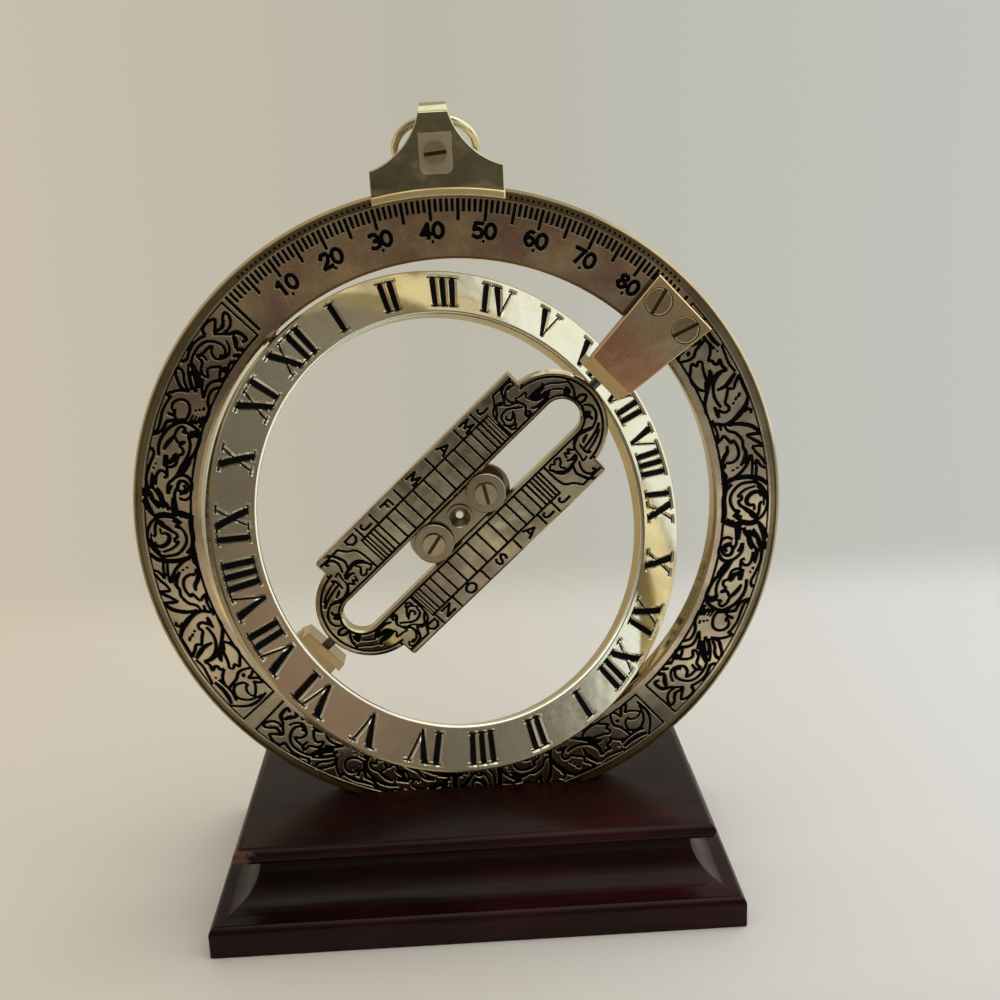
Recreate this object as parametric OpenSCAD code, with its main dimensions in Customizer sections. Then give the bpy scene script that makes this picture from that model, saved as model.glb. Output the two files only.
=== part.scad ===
// Universal equinoctial ring dial on a moulded wooden stand.
// Three nested members carry the reading: the meridian ring stands in the slot of the stand,
// the hour ring tilts inside it on two radial pins, and the bridge turns inside that on two
// more pins at right angles, held by a bracket on each face. A pinhole slider runs in the
// bridge and a clasp with the suspension ring runs round the meridian rim.

/* [Meridian ring] */
// Outer radius of the ring
ring_r = 60; // [52:0.5:75]
// Radial width of the ring
ring_w = 12.5; // [10.5:0.5:14]
// Thickness of the ring
ring_t = 5; // [4:0.1:7]
// Width of the track groove that guides the clasp on each face
track_w = 1.1; // [0.9:0.1:1.6]
// Depth of the track groove
track_d = 0.6; // [0.4:0.05:1]
// Width of the land between the track and the rim bevel
track_land = 0.3; // [0.2:0.05:0.6]
// Radial width of the rim bevel
rim_bevel_w = 0.5; // [0.2:0.05:0.8]
// Depth of the rim bevel along the ring axis
rim_bevel_d = 1.1; // [0.4:0.05:1.6]
// Chamfer along the inner edge of the ring
ring_chamfer = 0.5; // [0.2:0.05:0.8]
// Turn of the ring in its stand, from the 0 mark upright, in degrees
ring_turn = 42.6; // [30:0.1:60]
// Depth of the etched ornament panels
panel_depth = 0.25; // [0.1:0.05:0.5]
// Bare border between a panel and the ring's inner edge
panel_border = 1.6; // [1:0.1:2]
// Bare border between a panel and the track
panel_rim = 0.3; // [0.2:0.05:1]
// Bare gap between two neighbouring panels
panel_gap = 2.2; // [1.5:0.1:4]

/* [Hour ring] */
// Gap between the two rings
hour_gap = 0.6; // [0.5:0.05:1.5]
// Radial width of the hour ring
hour_w = 8.5; // [7:0.5:9.5]
// How far each face of the hour ring lies below the meridian ring's face
hour_inset = 0.7; // [0.3:0.05:1]
// Chamfer along the inner edges of the hour ring
hour_chamfer = 0.7; // [0.3:0.05:1]
// Chamfer along the outer edges of the hour ring
hour_rim_chamfer = 0.3; // [0.1:0.05:0.5]
// Tilt of the hour ring out of the meridian plane, in degrees
hour_tilt = 32; // [0:1:90]

/* [Pivots] */
// Radius of the two hour ring pins
hour_pin_r = 1; // [0.7:0.05:1.3]
// Depth of the hour ring's pin holes
hour_pin_grip = 4.5; // [3:0.25:6]
// Radius of the two bridge pins
bridge_pin_r = 0.9; // [0.6:0.05:1.05]
// Depth of the bridge's pin holes
bridge_pin_grip = 3; // [2:0.25:3.5]
// Radial running clearance of a pin in its hole
run_clear = 0.05; // [0.02:0.01:0.1]
// Space left at the blind end of a pin hole, and under the rim at a pin's outer end
pin_end_clear = 0.4; // [0.2:0.05:0.8]
// Length of the bosses on which the hour ring is centred
boss_l = 3.4; // [3:0.1:6]
// Width of those bosses along the ring axis
boss_w = 3.4; // [2.8:0.1:3.8]
// Clearance between those bosses and the hour ring
boss_clear = 0.3; // [0.2:0.05:0.4]

/* [Brackets] */
// Thickness of a bracket plate
bracket_t = 2.6; // [2:0.1:4]
// Width of a bracket at its outer end
bracket_outer_w = 13.6; // [12:0.2:18]
// Width of a bracket at its inner end
bracket_inner_w = 9.2; // [7:0.2:11]
// Rim left free beyond a bracket
bracket_rim_land = 3.3; // [2.8:0.1:4]
// Thickness of the leg that holds the bridge pin
leg_t = 1.7; // [1.4:0.1:2.5]
// Metal left beyond the pin at the end of the leg
leg_wall = 1.3; // [1:0.1:2]
// Clearance between the leg and the swing of the hour ring
leg_clear = 0.35; // [0.3:0.05:0.7]
// Length of the bevel at the bend of a bracket
bend_bevel = 2.4; // [1.5:0.1:2.8]
// Chamfer along the upper edges of a bracket
bracket_chamfer = 0.2; // [0.1:0.05:0.3]

/* [Bracket screws] */
// Radius of a screw head
bracket_head_r = 2.45; // [2:0.05:2.6]
// Height of a screw head
bracket_head_h = 1.3; // [0.9:0.1:1.5]
// Radius of a screw shank
bracket_shank_r = 1.25; // [0.9:0.05:1.4]
// Depth of a shank in the ring
bracket_shank_grip = 3.2; // [2:0.1:3.3]
// Distance between the two screws of a bracket
bracket_screw_pitch = 7; // [6.4:0.1:7.2]
// Distance from the outer end of a bracket to its screws
bracket_screw_set = 3.4; // [3:0.1:4]

/* [Bridge] */
// Width of the bridge plate
bridge_w = 25.9; // [22:0.1:30]
// Thickness of the bridge plate
bridge_t = 3; // [2.6:0.1:4]
// Radius of the arched ends
arch_r = 10.3; // [8.5:0.1:10.6]
// How far the shoulders stand beyond the centres of the arches
shoulder_set = 1.4; // [0.5:0.1:3]
// Metal between the slot and the tip of an arch
tip_wall = 4.4; // [4:0.1:6]
// Width of the slot
slot_w = 6.9; // [5.5:0.1:8]
// Gap between an arch and the bracket leg
bridge_gap = 1.6; // [0.8:0.1:2.5]
// Chamfer along the edges of the bridge
bridge_chamfer = 0.35; // [0.2:0.05:0.6]

/* [Slider] */
// Distance from the pinhole to each screw
slider_pitch = 6.85; // [6.3:0.05:9]
// Radius of the front washers
washer_r = 3.75; // [3.7:0.05:3.9]
// Thickness of the front washers
washer_t = 0.8; // [0.5:0.05:1.2]
// Radius of the slider screw heads
slider_head_r = 2.05; // [1.6:0.05:2.4]
// Height of the slider screw heads
slider_head_h = 0.7; // [0.5:0.05:1]
// Radius of the slider screw shanks
slider_shank_r = 0.9; // [0.6:0.05:1.2]
// Thickness of the bar between its bosses
bar_t = 1.8; // [1.2:0.1:2.4]
// Side clearance of the bar in the slot
bar_side_clear = 0.3; // [0.2:0.05:0.5]
// Clearance between the washers and the bridge's faces
bar_face_clear = 0.1; // [0.05:0.01:0.3]
// Thickness of the plate behind the bridge
back_plate_t = 1; // [0.8:0.1:1.6]
// How far that plate overlaps the bridge beside the slot
back_plate_lap = 1.2; // [0.8:0.1:2]
// Radius of the pinhole's boss
pinhole_boss_r = 2.45; // [2.2:0.05:2.5]
// Radius of the mouth of the pinhole's cone
pinhole_mouth_r = 2; // [1.2:0.05:2.1]
// Radius of the pinhole
pinhole_r = 0.7; // [0.4:0.05:1]
// Thickness of the wall that the pinhole pierces
pinhole_wall = 0.5; // [0.3:0.05:1]

/* [Clasp] */
// Latitude that the clasp is set to, in degrees
latitude = 41.7; // [30:0.1:60]
// Width of the clasp
clasp_w = 23; // [21:0.5:26]
// Thickness of each side plate
clasp_t = 1.6; // [1.2:0.1:2.4]
// Clearance between the clasp and the ring
clasp_clear = 0.35; // [0.25:0.05:0.6]
// Height of the square ends above the rim
shoulder_h = 3; // [2:0.1:4]
// Radius of the swept sides
sweep_r = 12.9; // [11:0.1:16]
// Width of the neck at the eye
neck_w = 5.9; // [5.4:0.1:6.6]
// Height of the suspension eye above the rim
eye_h = 11; // [10.2:0.1:13]
// Radius of the eye's bore
eye_r = 1.7; // [1.6:0.05:1.9]
// Height of the side plates above the rim
plate_h = 12.2; // [11:0.1:12.6]
// Height of the raised lip along the bottom of a side plate
lip_h = 1.4; // [1:0.1:2]
// How far that lip stands proud
lip_proud = 0.4; // [0.2:0.05:0.8]
// Width of the pad under the clamp screw
pad_w = 5.7; // [4.8:0.1:6.2]
// Height of the pad
pad_h = 6.8; // [5.6:0.1:7.2]
// Thickness of the pad
pad_t = 0.5; // [0.3:0.05:1]
// Height of the clamp screw above the rim
clamp_h = 5.3; // [4.8:0.1:5.8]
// Radius of the clamp screw's head
clamp_head_r = 1.95; // [1.7:0.05:2.4]
// Height of the clamp screw's head
clamp_head_h = 0.8; // [0.5:0.05:1.2]
// Radius of the clamp screw's shank
clamp_shank_r = 1.2; // [0.8:0.05:1.5]

/* [Suspension ring] */
// Outer radius of the suspension ring
bail_r = 7.9; // [7.7:0.1:9]
// Radius of its wire
wire_r = 0.75; // [0.6:0.05:0.85]
// How far the ring leans back from hanging straight down, in degrees
bail_lean = 47; // [47:1:70]

/* [Screw slots] */
// Width of a screwdriver slot
driver_w = 0.65; // [0.4:0.05:0.9]
// Depth of a screwdriver slot
driver_d = 0.45; // [0.2:0.05:0.45]
// Clearance of a screw in its hole
screw_clear = 0.1; // [0.05:0.05:0.2]

/* [Stand] */
// Width of the top board
board_w = 88.2; // [76:0.2:110]
// Depth of the top board
board_d = 44.6; // [36:0.2:60]
// Thickness of the top board
board_t = 3.2; // [2.4:0.1:5]
// How far the body is set back under the board
neck_set = 4.1; // [2:0.1:5]
// Height of the fillet strip under the board
strip_h = 1.2; // [0.8:0.1:3]
// Width of the step below the fillet strip
strip_step = 0.6; // [0.3:0.1:1]
// Radius of the cove
cove_r = 8; // [6:0.1:12]
// Height of the plinth
plinth_h = 6; // [4:0.2:10]
// How far the plinth stands out beyond the cove
plinth_step = 0.8; // [0.4:0.1:2]
// Rounding of the plinth's upper edge
plinth_round = 1.6; // [0.8:0.1:2.4]
// How deep the ring sinks into the stand
ring_sink = 5.3; // [4:0.1:7]
// Clearance of the ring in its slot
stand_clear = 0.3; // [0.2:0.05:0.6]

/* [Hidden] */
$fn = 96;
// Overshoot of a cutter past the face that it cuts
over = 1;

brass = "#b9a15c";
pale_brass = "#d9cf9a";
dark_brass = "#8d7a50";
steel = "#4b443a";
mahogany = "#3a1412";

// Stand levels
cove_z = plinth_h + cove_r;
board_z = cove_z + strip_h;
stand_h = board_z + board_t;
dial_z = stand_h + ring_r - ring_sink;
neck_w2 = board_w / 2 - neck_set;
neck_d2 = board_d / 2 - neck_set;
foot_out = cove_r + plinth_step;

// Meridian ring radii and levels
ring_ri = ring_r - ring_w;
face = ring_t / 2;
bevel_r = ring_r - rim_bevel_w;
track_r1 = bevel_r - track_land;
track_r0 = track_r1 - track_w;
panel_r0 = ring_ri + panel_border;
panel_r1 = track_r0 - panel_rim;

// Hour ring
hour_ro = ring_ri - hour_gap;
hour_ri = hour_ro - hour_w;
hour_t = ring_t - 2 * hour_inset;
boss_r = hour_ro + boss_clear;

// Brackets: the leg stays inside the cylinder that the hour ring sweeps about its pins
leg_past = bridge_pin_r + leg_wall;
leg_out = sqrt(pow(hour_ri, 2) - pow(bracket_inner_w / 2, 2) - pow(leg_past, 2)) - leg_clear;
leg_in = leg_out - leg_t;
bracket_out = ring_r - bracket_rim_land;
bracket_top = face + bracket_t;
bracket_screw_x = bracket_out - bracket_screw_set;

// Bridge
bridge_tip = leg_in - bridge_gap;
arch_x = bridge_tip - arch_r;
shoulder_x = arch_x + shoulder_set;
slot_end = bridge_tip - tip_wall;
slot_r = slot_w / 2;
slot_x = slot_end - slot_r;

// Slider
bar_r = slot_r - bar_side_clear;
bar_boss_t = bridge_t + 2 * bar_face_clear;
slider_face = bar_boss_t / 2;

// Clasp
clasp_face = face + clasp_clear;
clasp_top = clasp_face + clasp_t;
clasp_seat_r = ring_r + clasp_clear;
lip_r = track_r0 + clasp_clear / 3;
eye_y = ring_r + eye_h;
clamp_y = ring_r + clamp_h;
shoulder_y = ring_r + shoulder_h;
// The sweep runs from the corner of the square end to the neck at the eye
sweep_run = (clasp_w - neck_w) / 2;
sweep_rise = eye_y - shoulder_y;
sweep_chord = sqrt(pow(sweep_run, 2) + pow(sweep_rise, 2));
sweep_bow = sqrt(pow(sweep_r, 2) - pow(sweep_chord / 2, 2)) / sweep_chord;
sweep_x = (clasp_w + neck_w) / 4 + sweep_rise * sweep_bow;
sweep_y = (shoulder_y + eye_y) / 2 + sweep_run * sweep_bow;
bail_mean_r = bail_r - wire_r;
// The wire bows across the eye, so its middle sits above the bore's axis by half the bow
bail_rise = (bail_mean_r - sqrt(pow(bail_mean_r, 2) - pow(neck_w / 2, 2))) / 2;

// Dial frame: x to the right, y up the ring, z out of the front face
module dial() {
    translate([0, 0, dial_z]) rotate([90, 0, 0]) children();
}

// Polar frame: x along the bridge, y along the hour ring's pins, z out of the front face
module polar() {
    dial() rotate([0, 0, ring_turn]) children();
}

// Clasp frame: the dial frame turned until y runs up the clasp
module at_latitude() {
    dial() rotate([0, 0, ring_turn - latitude]) children();
}

// Repeats a child at the other end of the bridge, on the other face
module far_end() {
    rotate([0, 180, 0]) children();
}

// Flat ring or sector of one, standing on z0
module annulus(r0, r1, z0, h) {
    translate([0, 0, z0]) linear_extrude(h) difference() {
        circle(r1, $fn = 180);
        circle(r0, $fn = 180);
    }
}

// Slotted cheese-head screw: the seat of the head is at z = 0 and the shank runs down
module slotted_screw(head_r, head_h, shank_r, shank_l, turn) {
    difference() {
        cylinder(r = head_r, h = head_h);
        rotate([0, 0, turn]) translate([-head_r - over, -driver_w / 2, head_h - driver_d])
            cube([2 * (head_r + over), driver_w, driver_d + over]);
    }
    translate([0, 0, -shank_l]) cylinder(r = shank_r, h = shank_l);
}

// Stand

// Four-sided block: the profile of its width and the profile of its depth meet in mitres
module mitred() {
    intersection() {
        rotate([90, 0, 0]) linear_extrude(2 * (board_d + foot_out), center = true) children(0);
        rotate([90, 0, 90]) linear_extrude(2 * (board_w + foot_out), center = true) children(1);
    }
}

// Both ends of a profile, drawn outwards from the half-width given
module both_ends(half) {
    for (side = [0, 1]) mirror([side, 0]) translate([half, 0]) children();
}

// Slot milled by a cutter of the ring's own radius
module stand_slot() {
    dial() cylinder(r = ring_r + stand_clear, h = ring_t + 2 * stand_clear, center = true, $fn = 240);
}

module plinth_edge(half) {
    translate([-half, 0]) square([half + foot_out - plinth_round, plinth_h]);
    translate([-half, 0]) square([half + foot_out, plinth_h - plinth_round]);
    translate([foot_out - plinth_round, plinth_h - plinth_round]) circle(plinth_round);
}

module stand_plinth() {
    color(mahogany) mitred() {
        both_ends(neck_w2) plinth_edge(neck_w2);
        both_ends(neck_d2) plinth_edge(neck_d2);
    }
}

// Cove flaring down to the plinth, under a plain fillet strip
module cove_edge(half) {
    difference() {
        translate([-half, plinth_h]) square([half + cove_r, cove_r]);
        translate([cove_r, cove_z]) circle(cove_r);
    }
    translate([-half, cove_z]) square([half + strip_step, strip_h]);
}

module stand_cove() {
    color(mahogany) difference() {
        mitred() {
            both_ends(neck_w2) cove_edge(neck_w2);
            both_ends(neck_d2) cove_edge(neck_d2);
        }
        stand_slot();
    }
}

// Bullnosed board
module board_section(half) {
    translate([-half + board_t / 2, board_z]) square([2 * half - board_t, board_t]);
    for (side = [-1, 1])
        translate([side * (half - board_t / 2), board_z + board_t / 2]) circle(board_t / 2);
}

module stand_top() {
    color(mahogany) difference() {
        mitred() {
            board_section(board_w / 2);
            board_section(board_d / 2);
        }
        stand_slot();
    }
}

// Meridian ring

// Half section of the ring above its mid plane, from the inner edge to the rim
half_section = [[ring_ri, 0], [ring_ri, face - ring_chamfer], [ring_ri + ring_chamfer, face],
                [track_r0, face], [track_r0, face - track_d],
                [track_r1, face - track_d], [track_r1, face],
                [bevel_r, face], [ring_r, face - rim_bevel_d], [ring_r, 0]];

// Shallow etched panel filling one quadrant from the angle given
module panel(start) {
    trim = panel_gap / 2 / panel_r0 * 180 / PI;
    rotate([0, 0, start + trim]) rotate_extrude(angle = 90 - 2 * trim, $fn = 180)
        translate([panel_r0, face - panel_depth]) square([panel_r1 - panel_r0, panel_depth + over]);
}

// Boss on the inner edge that centres the hour ring
module pivot_boss() {
    translate([-boss_l / 2, boss_r, -boss_w / 2]) cube([boss_l, ring_ri + ring_chamfer - boss_r, boss_w]);
}

module bracket_screw_holes() {
    depth = bracket_shank_grip + pin_end_clear;
    for (side = [-1, 1])
        translate([bracket_screw_x, side * bracket_screw_pitch / 2, face - depth])
            cylinder(r = bracket_shank_r + screw_clear, h = depth + over, $fn = 48);
}

module meridian_ring() {
    color(brass) polar() difference() {
        union() {
            rotate_extrude($fn = 240) polygon(half_section);
            mirror([0, 0, 1]) rotate_extrude($fn = 240) polygon(half_section);
            for (turn = [0, 180]) rotate([0, 0, turn]) pivot_boss();
        }
        for (start = [90, 180, 270]) panel(start);
        rotate([90, 0, 0]) cylinder(r = hour_pin_r, h = 2 * (ring_r + over), center = true, $fn = 48);
        bracket_screw_holes();
        far_end() bracket_screw_holes();
    }
}

// Pins of the hour ring, let in through the rim

module hour_pin() {
    l = ring_r - pin_end_clear - (hour_ro - hour_pin_grip + pin_end_clear);
    translate([0, hour_ro - hour_pin_grip + pin_end_clear, 0]) rotate([-90, 0, 0]) difference() {
        cylinder(r = hour_pin_r, h = l, $fn = 48);
        translate([-driver_w / 2, -hour_pin_r - over, l - driver_d])
            cube([driver_w, 2 * (hour_pin_r + over), driver_d + over]);
    }
}

module upper_hour_pin() {
    color(steel) polar() hour_pin();
}

module lower_hour_pin() {
    color(steel) polar() rotate([0, 0, 180]) hour_pin();
}

// Brackets

// Outline of a bracket seen from the front
module bracket_outline() {
    polygon([[leg_in, -bracket_inner_w / 2], [bracket_out, -bracket_outer_w / 2],
             [bracket_out, bracket_outer_w / 2], [leg_in, bracket_inner_w / 2]]);
}

// Side view of a bracket: plate on the ring, bevelled bend and the leg past the mid plane
module bracket_side() {
    polygon([[leg_in, -leg_past], [leg_out, -leg_past], [leg_out, face], [bracket_out, face],
             [bracket_out, bracket_top - bracket_chamfer], [bracket_out - bracket_chamfer, bracket_top],
             [leg_in + bend_bevel, bracket_top], [leg_in, bracket_top - bend_bevel]]);
}

// Chamfers the long edges of the plate
module bracket_edge_cut() {
    slope = atan2((bracket_outer_w - bracket_inner_w) / 2, bracket_out - leg_in);
    cutter = 4 * bracket_chamfer;
    for (side = [0, 1]) mirror([0, side, 0])
        translate([leg_in, bracket_inner_w / 2, bracket_top]) rotate([0, 0, slope]) rotate([-45, 0, 0])
            translate([0, 0, (cutter - sqrt(2) * bracket_chamfer) / 2])
                cube([2 * bracket_out, cutter, cutter], center = true);
}

module bracket() {
    difference() {
        intersection() {
            translate([0, 0, -leg_past]) linear_extrude(bracket_top + leg_past) bracket_outline();
            rotate([90, 0, 0]) linear_extrude(2 * bracket_outer_w, center = true) bracket_side();
        }
        for (side = [-1, 1]) translate([bracket_screw_x, side * bracket_screw_pitch / 2, 0]) {
            cylinder(r = bracket_shank_r + screw_clear, h = bracket_top + over, $fn = 48);
            translate([0, 0, bracket_top - bracket_head_h])
                cylinder(r = bracket_head_r + screw_clear, h = bracket_head_h + over, $fn = 64);
        }
        rotate([0, 90, 0]) cylinder(r = bridge_pin_r, h = leg_out + over, $fn = 48);
        bracket_edge_cut();
    }
}

module upper_bracket() {
    color(brass) polar() bracket();
}

module lower_bracket() {
    color(brass) polar() far_end() bracket();
}

// The two screws of a bracket, with their slots as they were left
module bracket_screws(turns) {
    for (i = [0, 1])
        translate([bracket_screw_x, (i - 0.5) * bracket_screw_pitch, bracket_top - bracket_head_h])
            slotted_screw(bracket_head_r, bracket_head_h, bracket_shank_r,
                          bracket_t - bracket_head_h + bracket_shank_grip, turns[i]);
}

module upper_bracket_screws() {
    color(dark_brass) polar() bracket_screws([-18, 15]);
}

module lower_bracket_screws() {
    color(dark_brass) polar() far_end() bracket_screws([40, 75]);
}

// Pins of the bridge, pressed into the bracket legs

module bridge_pin() {
    translate([bridge_tip - bridge_pin_grip + pin_end_clear, 0, 0]) rotate([0, 90, 0])
        cylinder(r = bridge_pin_r, h = leg_out - bridge_tip + bridge_pin_grip - pin_end_clear, $fn = 48);
}

module upper_bridge_pin() {
    color(steel) polar() bridge_pin();
}

module lower_bridge_pin() {
    color(steel) polar() far_end() bridge_pin();
}

// Hour ring

hour_section = [[hour_ri, 0], [hour_ri, hour_t / 2 - hour_chamfer], [hour_ri + hour_chamfer, hour_t / 2],
                [hour_ro - hour_rim_chamfer, hour_t / 2], [hour_ro, hour_t / 2 - hour_rim_chamfer],
                [hour_ro, 0]];

module hour_ring() {
    color(pale_brass) polar() rotate([0, hour_tilt, 0]) difference() {
        union() {
            rotate_extrude($fn = 240) polygon(hour_section);
            mirror([0, 0, 1]) rotate_extrude($fn = 240) polygon(hour_section);
        }
        for (turn = [0, 180]) rotate([0, 0, turn]) translate([0, hour_ro - hour_pin_grip, 0])
            rotate([-90, 0, 0]) cylinder(r = hour_pin_r + run_clear, h = hour_pin_grip + over, $fn = 48);
    }
}

// Bridge

// Disc with both rims chamfered
module chamfered_disc(r, t, c) {
    rotate_extrude($fn = 120)
        polygon([[0, -t / 2], [r - c, -t / 2], [r, c - t / 2], [r, t / 2 - c], [r - c, t / 2], [0, t / 2]]);
}

// Section of a plate with both edges chamfered
module chamfered_section(half, t, c) {
    polygon([[c - half, -t / 2], [half - c, -t / 2], [half, c - t / 2], [half, t / 2 - c],
             [half - c, t / 2], [c - half, t / 2], [-half, t / 2 - c], [-half, c - t / 2]]);
}

// Plate with all four edges chamfered on both faces
module chamfered_plate(half_l, half_w, t, c) {
    intersection() {
        rotate([90, 0, 0]) linear_extrude(2 * half_w, center = true) chamfered_section(half_l, t, c);
        rotate([90, 0, 90]) linear_extrude(2 * half_l, center = true) chamfered_section(half_w, t, c);
    }
}

// Long slot with round ends whose edges are broken on both faces
module slot_cut() {
    linear_extrude(bridge_t + 2 * over, center = true) stadium(slot_x, slot_r);
    for (flip = [0, 180]) rotate([flip, 0, 0]) translate([0, 0, bridge_t / 2 - bridge_chamfer]) {
        for (side = [-1, 1]) translate([side * slot_x, 0, 0])
            cylinder(r1 = slot_r, r2 = slot_r + 2 * bridge_chamfer, h = 2 * bridge_chamfer, $fn = 96);
        rotate([90, 0, 90]) linear_extrude(2 * slot_x, center = true)
            polygon([[-slot_r, 0], [slot_r, 0], [slot_r + 2 * bridge_chamfer, 2 * bridge_chamfer],
                     [-slot_r - 2 * bridge_chamfer, 2 * bridge_chamfer]]);
    }
}

module stadium(half_l, r) {
    square([2 * half_l, 2 * r], center = true);
    for (side = [-1, 1]) translate([side * half_l, 0]) circle(r);
}

module bridge_plate() {
    color(dark_brass) polar() difference() {
        union() {
            chamfered_plate(shoulder_x, bridge_w / 2, bridge_t, bridge_chamfer);
            for (side = [-1, 1]) translate([side * arch_x, 0, 0])
                chamfered_disc(arch_r, bridge_t, bridge_chamfer);
        }
        slot_cut();
        for (turn = [0, 180]) rotate([0, turn, 0]) translate([bridge_tip - bridge_pin_grip, 0, 0])
            rotate([0, 90, 0]) cylinder(r = bridge_pin_r + run_clear, h = bridge_pin_grip + over, $fn = 48);
    }
}

// Slider

// Bar in the slot, with a boss under each washer and the cone of the pinhole in the middle
module slider_bar() {
    boss_h = (bar_t + bridge_t) / 2;
    color(dark_brass) polar() difference() {
        union() {
            linear_extrude(bar_t, center = true) stadium(slider_pitch, bar_r);
            for (side = [-1, 1]) translate([side * slider_pitch, 0, 0])
                cylinder(r = bar_r, h = bar_boss_t, center = true, $fn = 64);
            translate([0, 0, -bar_t / 2]) cylinder(r = pinhole_boss_r, h = boss_h, $fn = 64);
        }
        for (side = [-1, 1]) translate([side * slider_pitch, 0, 0])
            cylinder(r = slider_shank_r + screw_clear, h = bar_boss_t + 2 * over, center = true, $fn = 48);
        cylinder(r = pinhole_r, h = 2 * bridge_t, center = true, $fn = 48);
        translate([0, 0, pinhole_wall - bar_t / 2])
            cylinder(r1 = pinhole_r, r2 = pinhole_mouth_r, h = boss_h - pinhole_wall, $fn = 64);
    }
}

module slider_washers() {
    chamfer = washer_t / 4;
    bore = slider_shank_r + screw_clear;
    color(brass) polar() for (side = [-1, 1]) translate([side * slider_pitch, 0, slider_face])
        rotate_extrude($fn = 96)
            polygon([[bore, 0], [washer_r, 0], [washer_r, washer_t - chamfer],
                     [washer_r - chamfer, washer_t], [bore, washer_t]]);
}

module slider_screws() {
    turns = [13, 60];
    color(dark_brass) polar() for (i = [0, 1])
        translate([(i - 0.5) * 2 * slider_pitch, 0, slider_face + washer_t])
            slotted_screw(slider_head_r, slider_head_h, slider_shank_r,
                          washer_t + bar_boss_t + back_plate_t, turns[i]);
}

// Plate behind the bridge that the slider screws draw up
module slider_back_plate() {
    color(brass) polar() translate([0, 0, -slider_face - back_plate_t]) difference() {
        linear_extrude(back_plate_t) stadium(slider_pitch, slot_r + back_plate_lap);
        for (side = [-1, 1]) translate([side * slider_pitch, 0, -over])
            cylinder(r = slider_shank_r, h = back_plate_t + 2 * over, $fn = 48);
        translate([0, 0, -over]) cylinder(r = pinhole_mouth_r, h = back_plate_t + 2 * over, $fn = 48);
    }
}

// Clasp on the rim

// Front view above the radius r0: square ends swept up to the neck
module clasp_outline(r0, top) {
    difference() {
        translate([-clasp_w / 2, 0]) square([clasp_w, ring_r + top]);
        circle(r0, $fn = 240);
        for (side = [0, 1]) mirror([side, 0]) {
            translate([sweep_x, sweep_y]) circle(sweep_r, $fn = 120);
            translate([sweep_x, shoulder_y]) square([clasp_w, sweep_r + eye_h]);
        }
    }
}

// Body that bridges the rim and carries the eye in its rounded top
module clasp_body() {
    color(brass) at_latitude() difference() {
        intersection() {
            linear_extrude(2 * clasp_face, center = true) clasp_outline(clasp_seat_r, eye_h + clasp_face);
            rotate([90, 0, 90]) linear_extrude(2 * clasp_w, center = true) {
                translate([eye_y / 2, 0]) square([eye_y, 2 * clasp_face], center = true);
                translate([eye_y, 0]) circle(clasp_face);
            }
        }
        translate([0, eye_y, 0]) rotate([0, 90, 0])
            cylinder(r = eye_r, h = 2 * clasp_w, center = true, $fn = 64);
        translate([0, clamp_y, 0])
            cylinder(r = clamp_shank_r + screw_clear, h = 4 * clasp_face, center = true, $fn = 48);
    }
}

// Side plate with a proud lip along its lower edge and a rib that runs in the track
module clasp_plate(hole_r) {
    difference() {
        union() {
            translate([0, 0, clasp_face]) linear_extrude(clasp_t) clasp_outline(lip_r, plate_h);
            intersection() {
                union() {
                    annulus(lip_r, lip_r + lip_h, clasp_face, clasp_t + lip_proud);
                    annulus(track_r0 + clasp_clear, track_r1 - clasp_clear,
                            face - track_d + clasp_clear, clasp_face);
                }
                translate([-clasp_w / 2, 0, 0]) cube([clasp_w, 2 * ring_r, clasp_top + lip_proud]);
            }
        }
        translate([0, clamp_y, 0]) cylinder(r = hole_r, h = clasp_top + over, $fn = 48);
    }
}

module clasp_front_plate() {
    color(brass) at_latitude() clasp_plate(clamp_shank_r + screw_clear);
}

module clasp_back_plate() {
    color(brass) at_latitude() far_end() clasp_plate(clamp_shank_r);
}

module clasp_pad() {
    color(pale_brass) at_latitude() translate([0, clamp_y, clasp_top]) linear_extrude(pad_t) difference() {
        square([pad_w, pad_h], center = true);
        circle(clamp_shank_r + screw_clear, $fn = 48);
    }
}

module clasp_screw() {
    color(dark_brass) at_latitude() translate([0, clamp_y, clasp_top + pad_t])
        slotted_screw(clamp_head_r, clamp_head_h, clamp_shank_r, pad_t + 2 * clasp_top, 5);
}

module suspension_ring() {
    color(pale_brass) at_latitude() translate([0, eye_y, 0]) rotate([bail_lean, 0, 0])
        translate([0, bail_rise - bail_mean_r, 0])
            rotate_extrude($fn = 120) translate([bail_mean_r, 0]) circle(wire_r, $fn = 48);
}

stand_plinth();
stand_cove();
stand_top();
meridian_ring();
upper_bracket();
lower_bracket();
upper_bracket_screws();
lower_bracket_screws();
upper_bridge_pin();
lower_bridge_pin();
upper_hour_pin();
lower_hour_pin();
hour_ring();
bridge_plate();
slider_bar();
slider_washers();
slider_screws();
slider_back_plate();
clasp_body();
clasp_front_plate();
clasp_back_plate();
clasp_pad();
clasp_screw();
suspension_ring();
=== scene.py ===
import math

import bmesh
import bpy
from mathutils import Matrix, Quaternion, Vector
from mathutils.geometry import convex_hull_2d, delaunay_2d_cdt, interpolate_bezier


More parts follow.
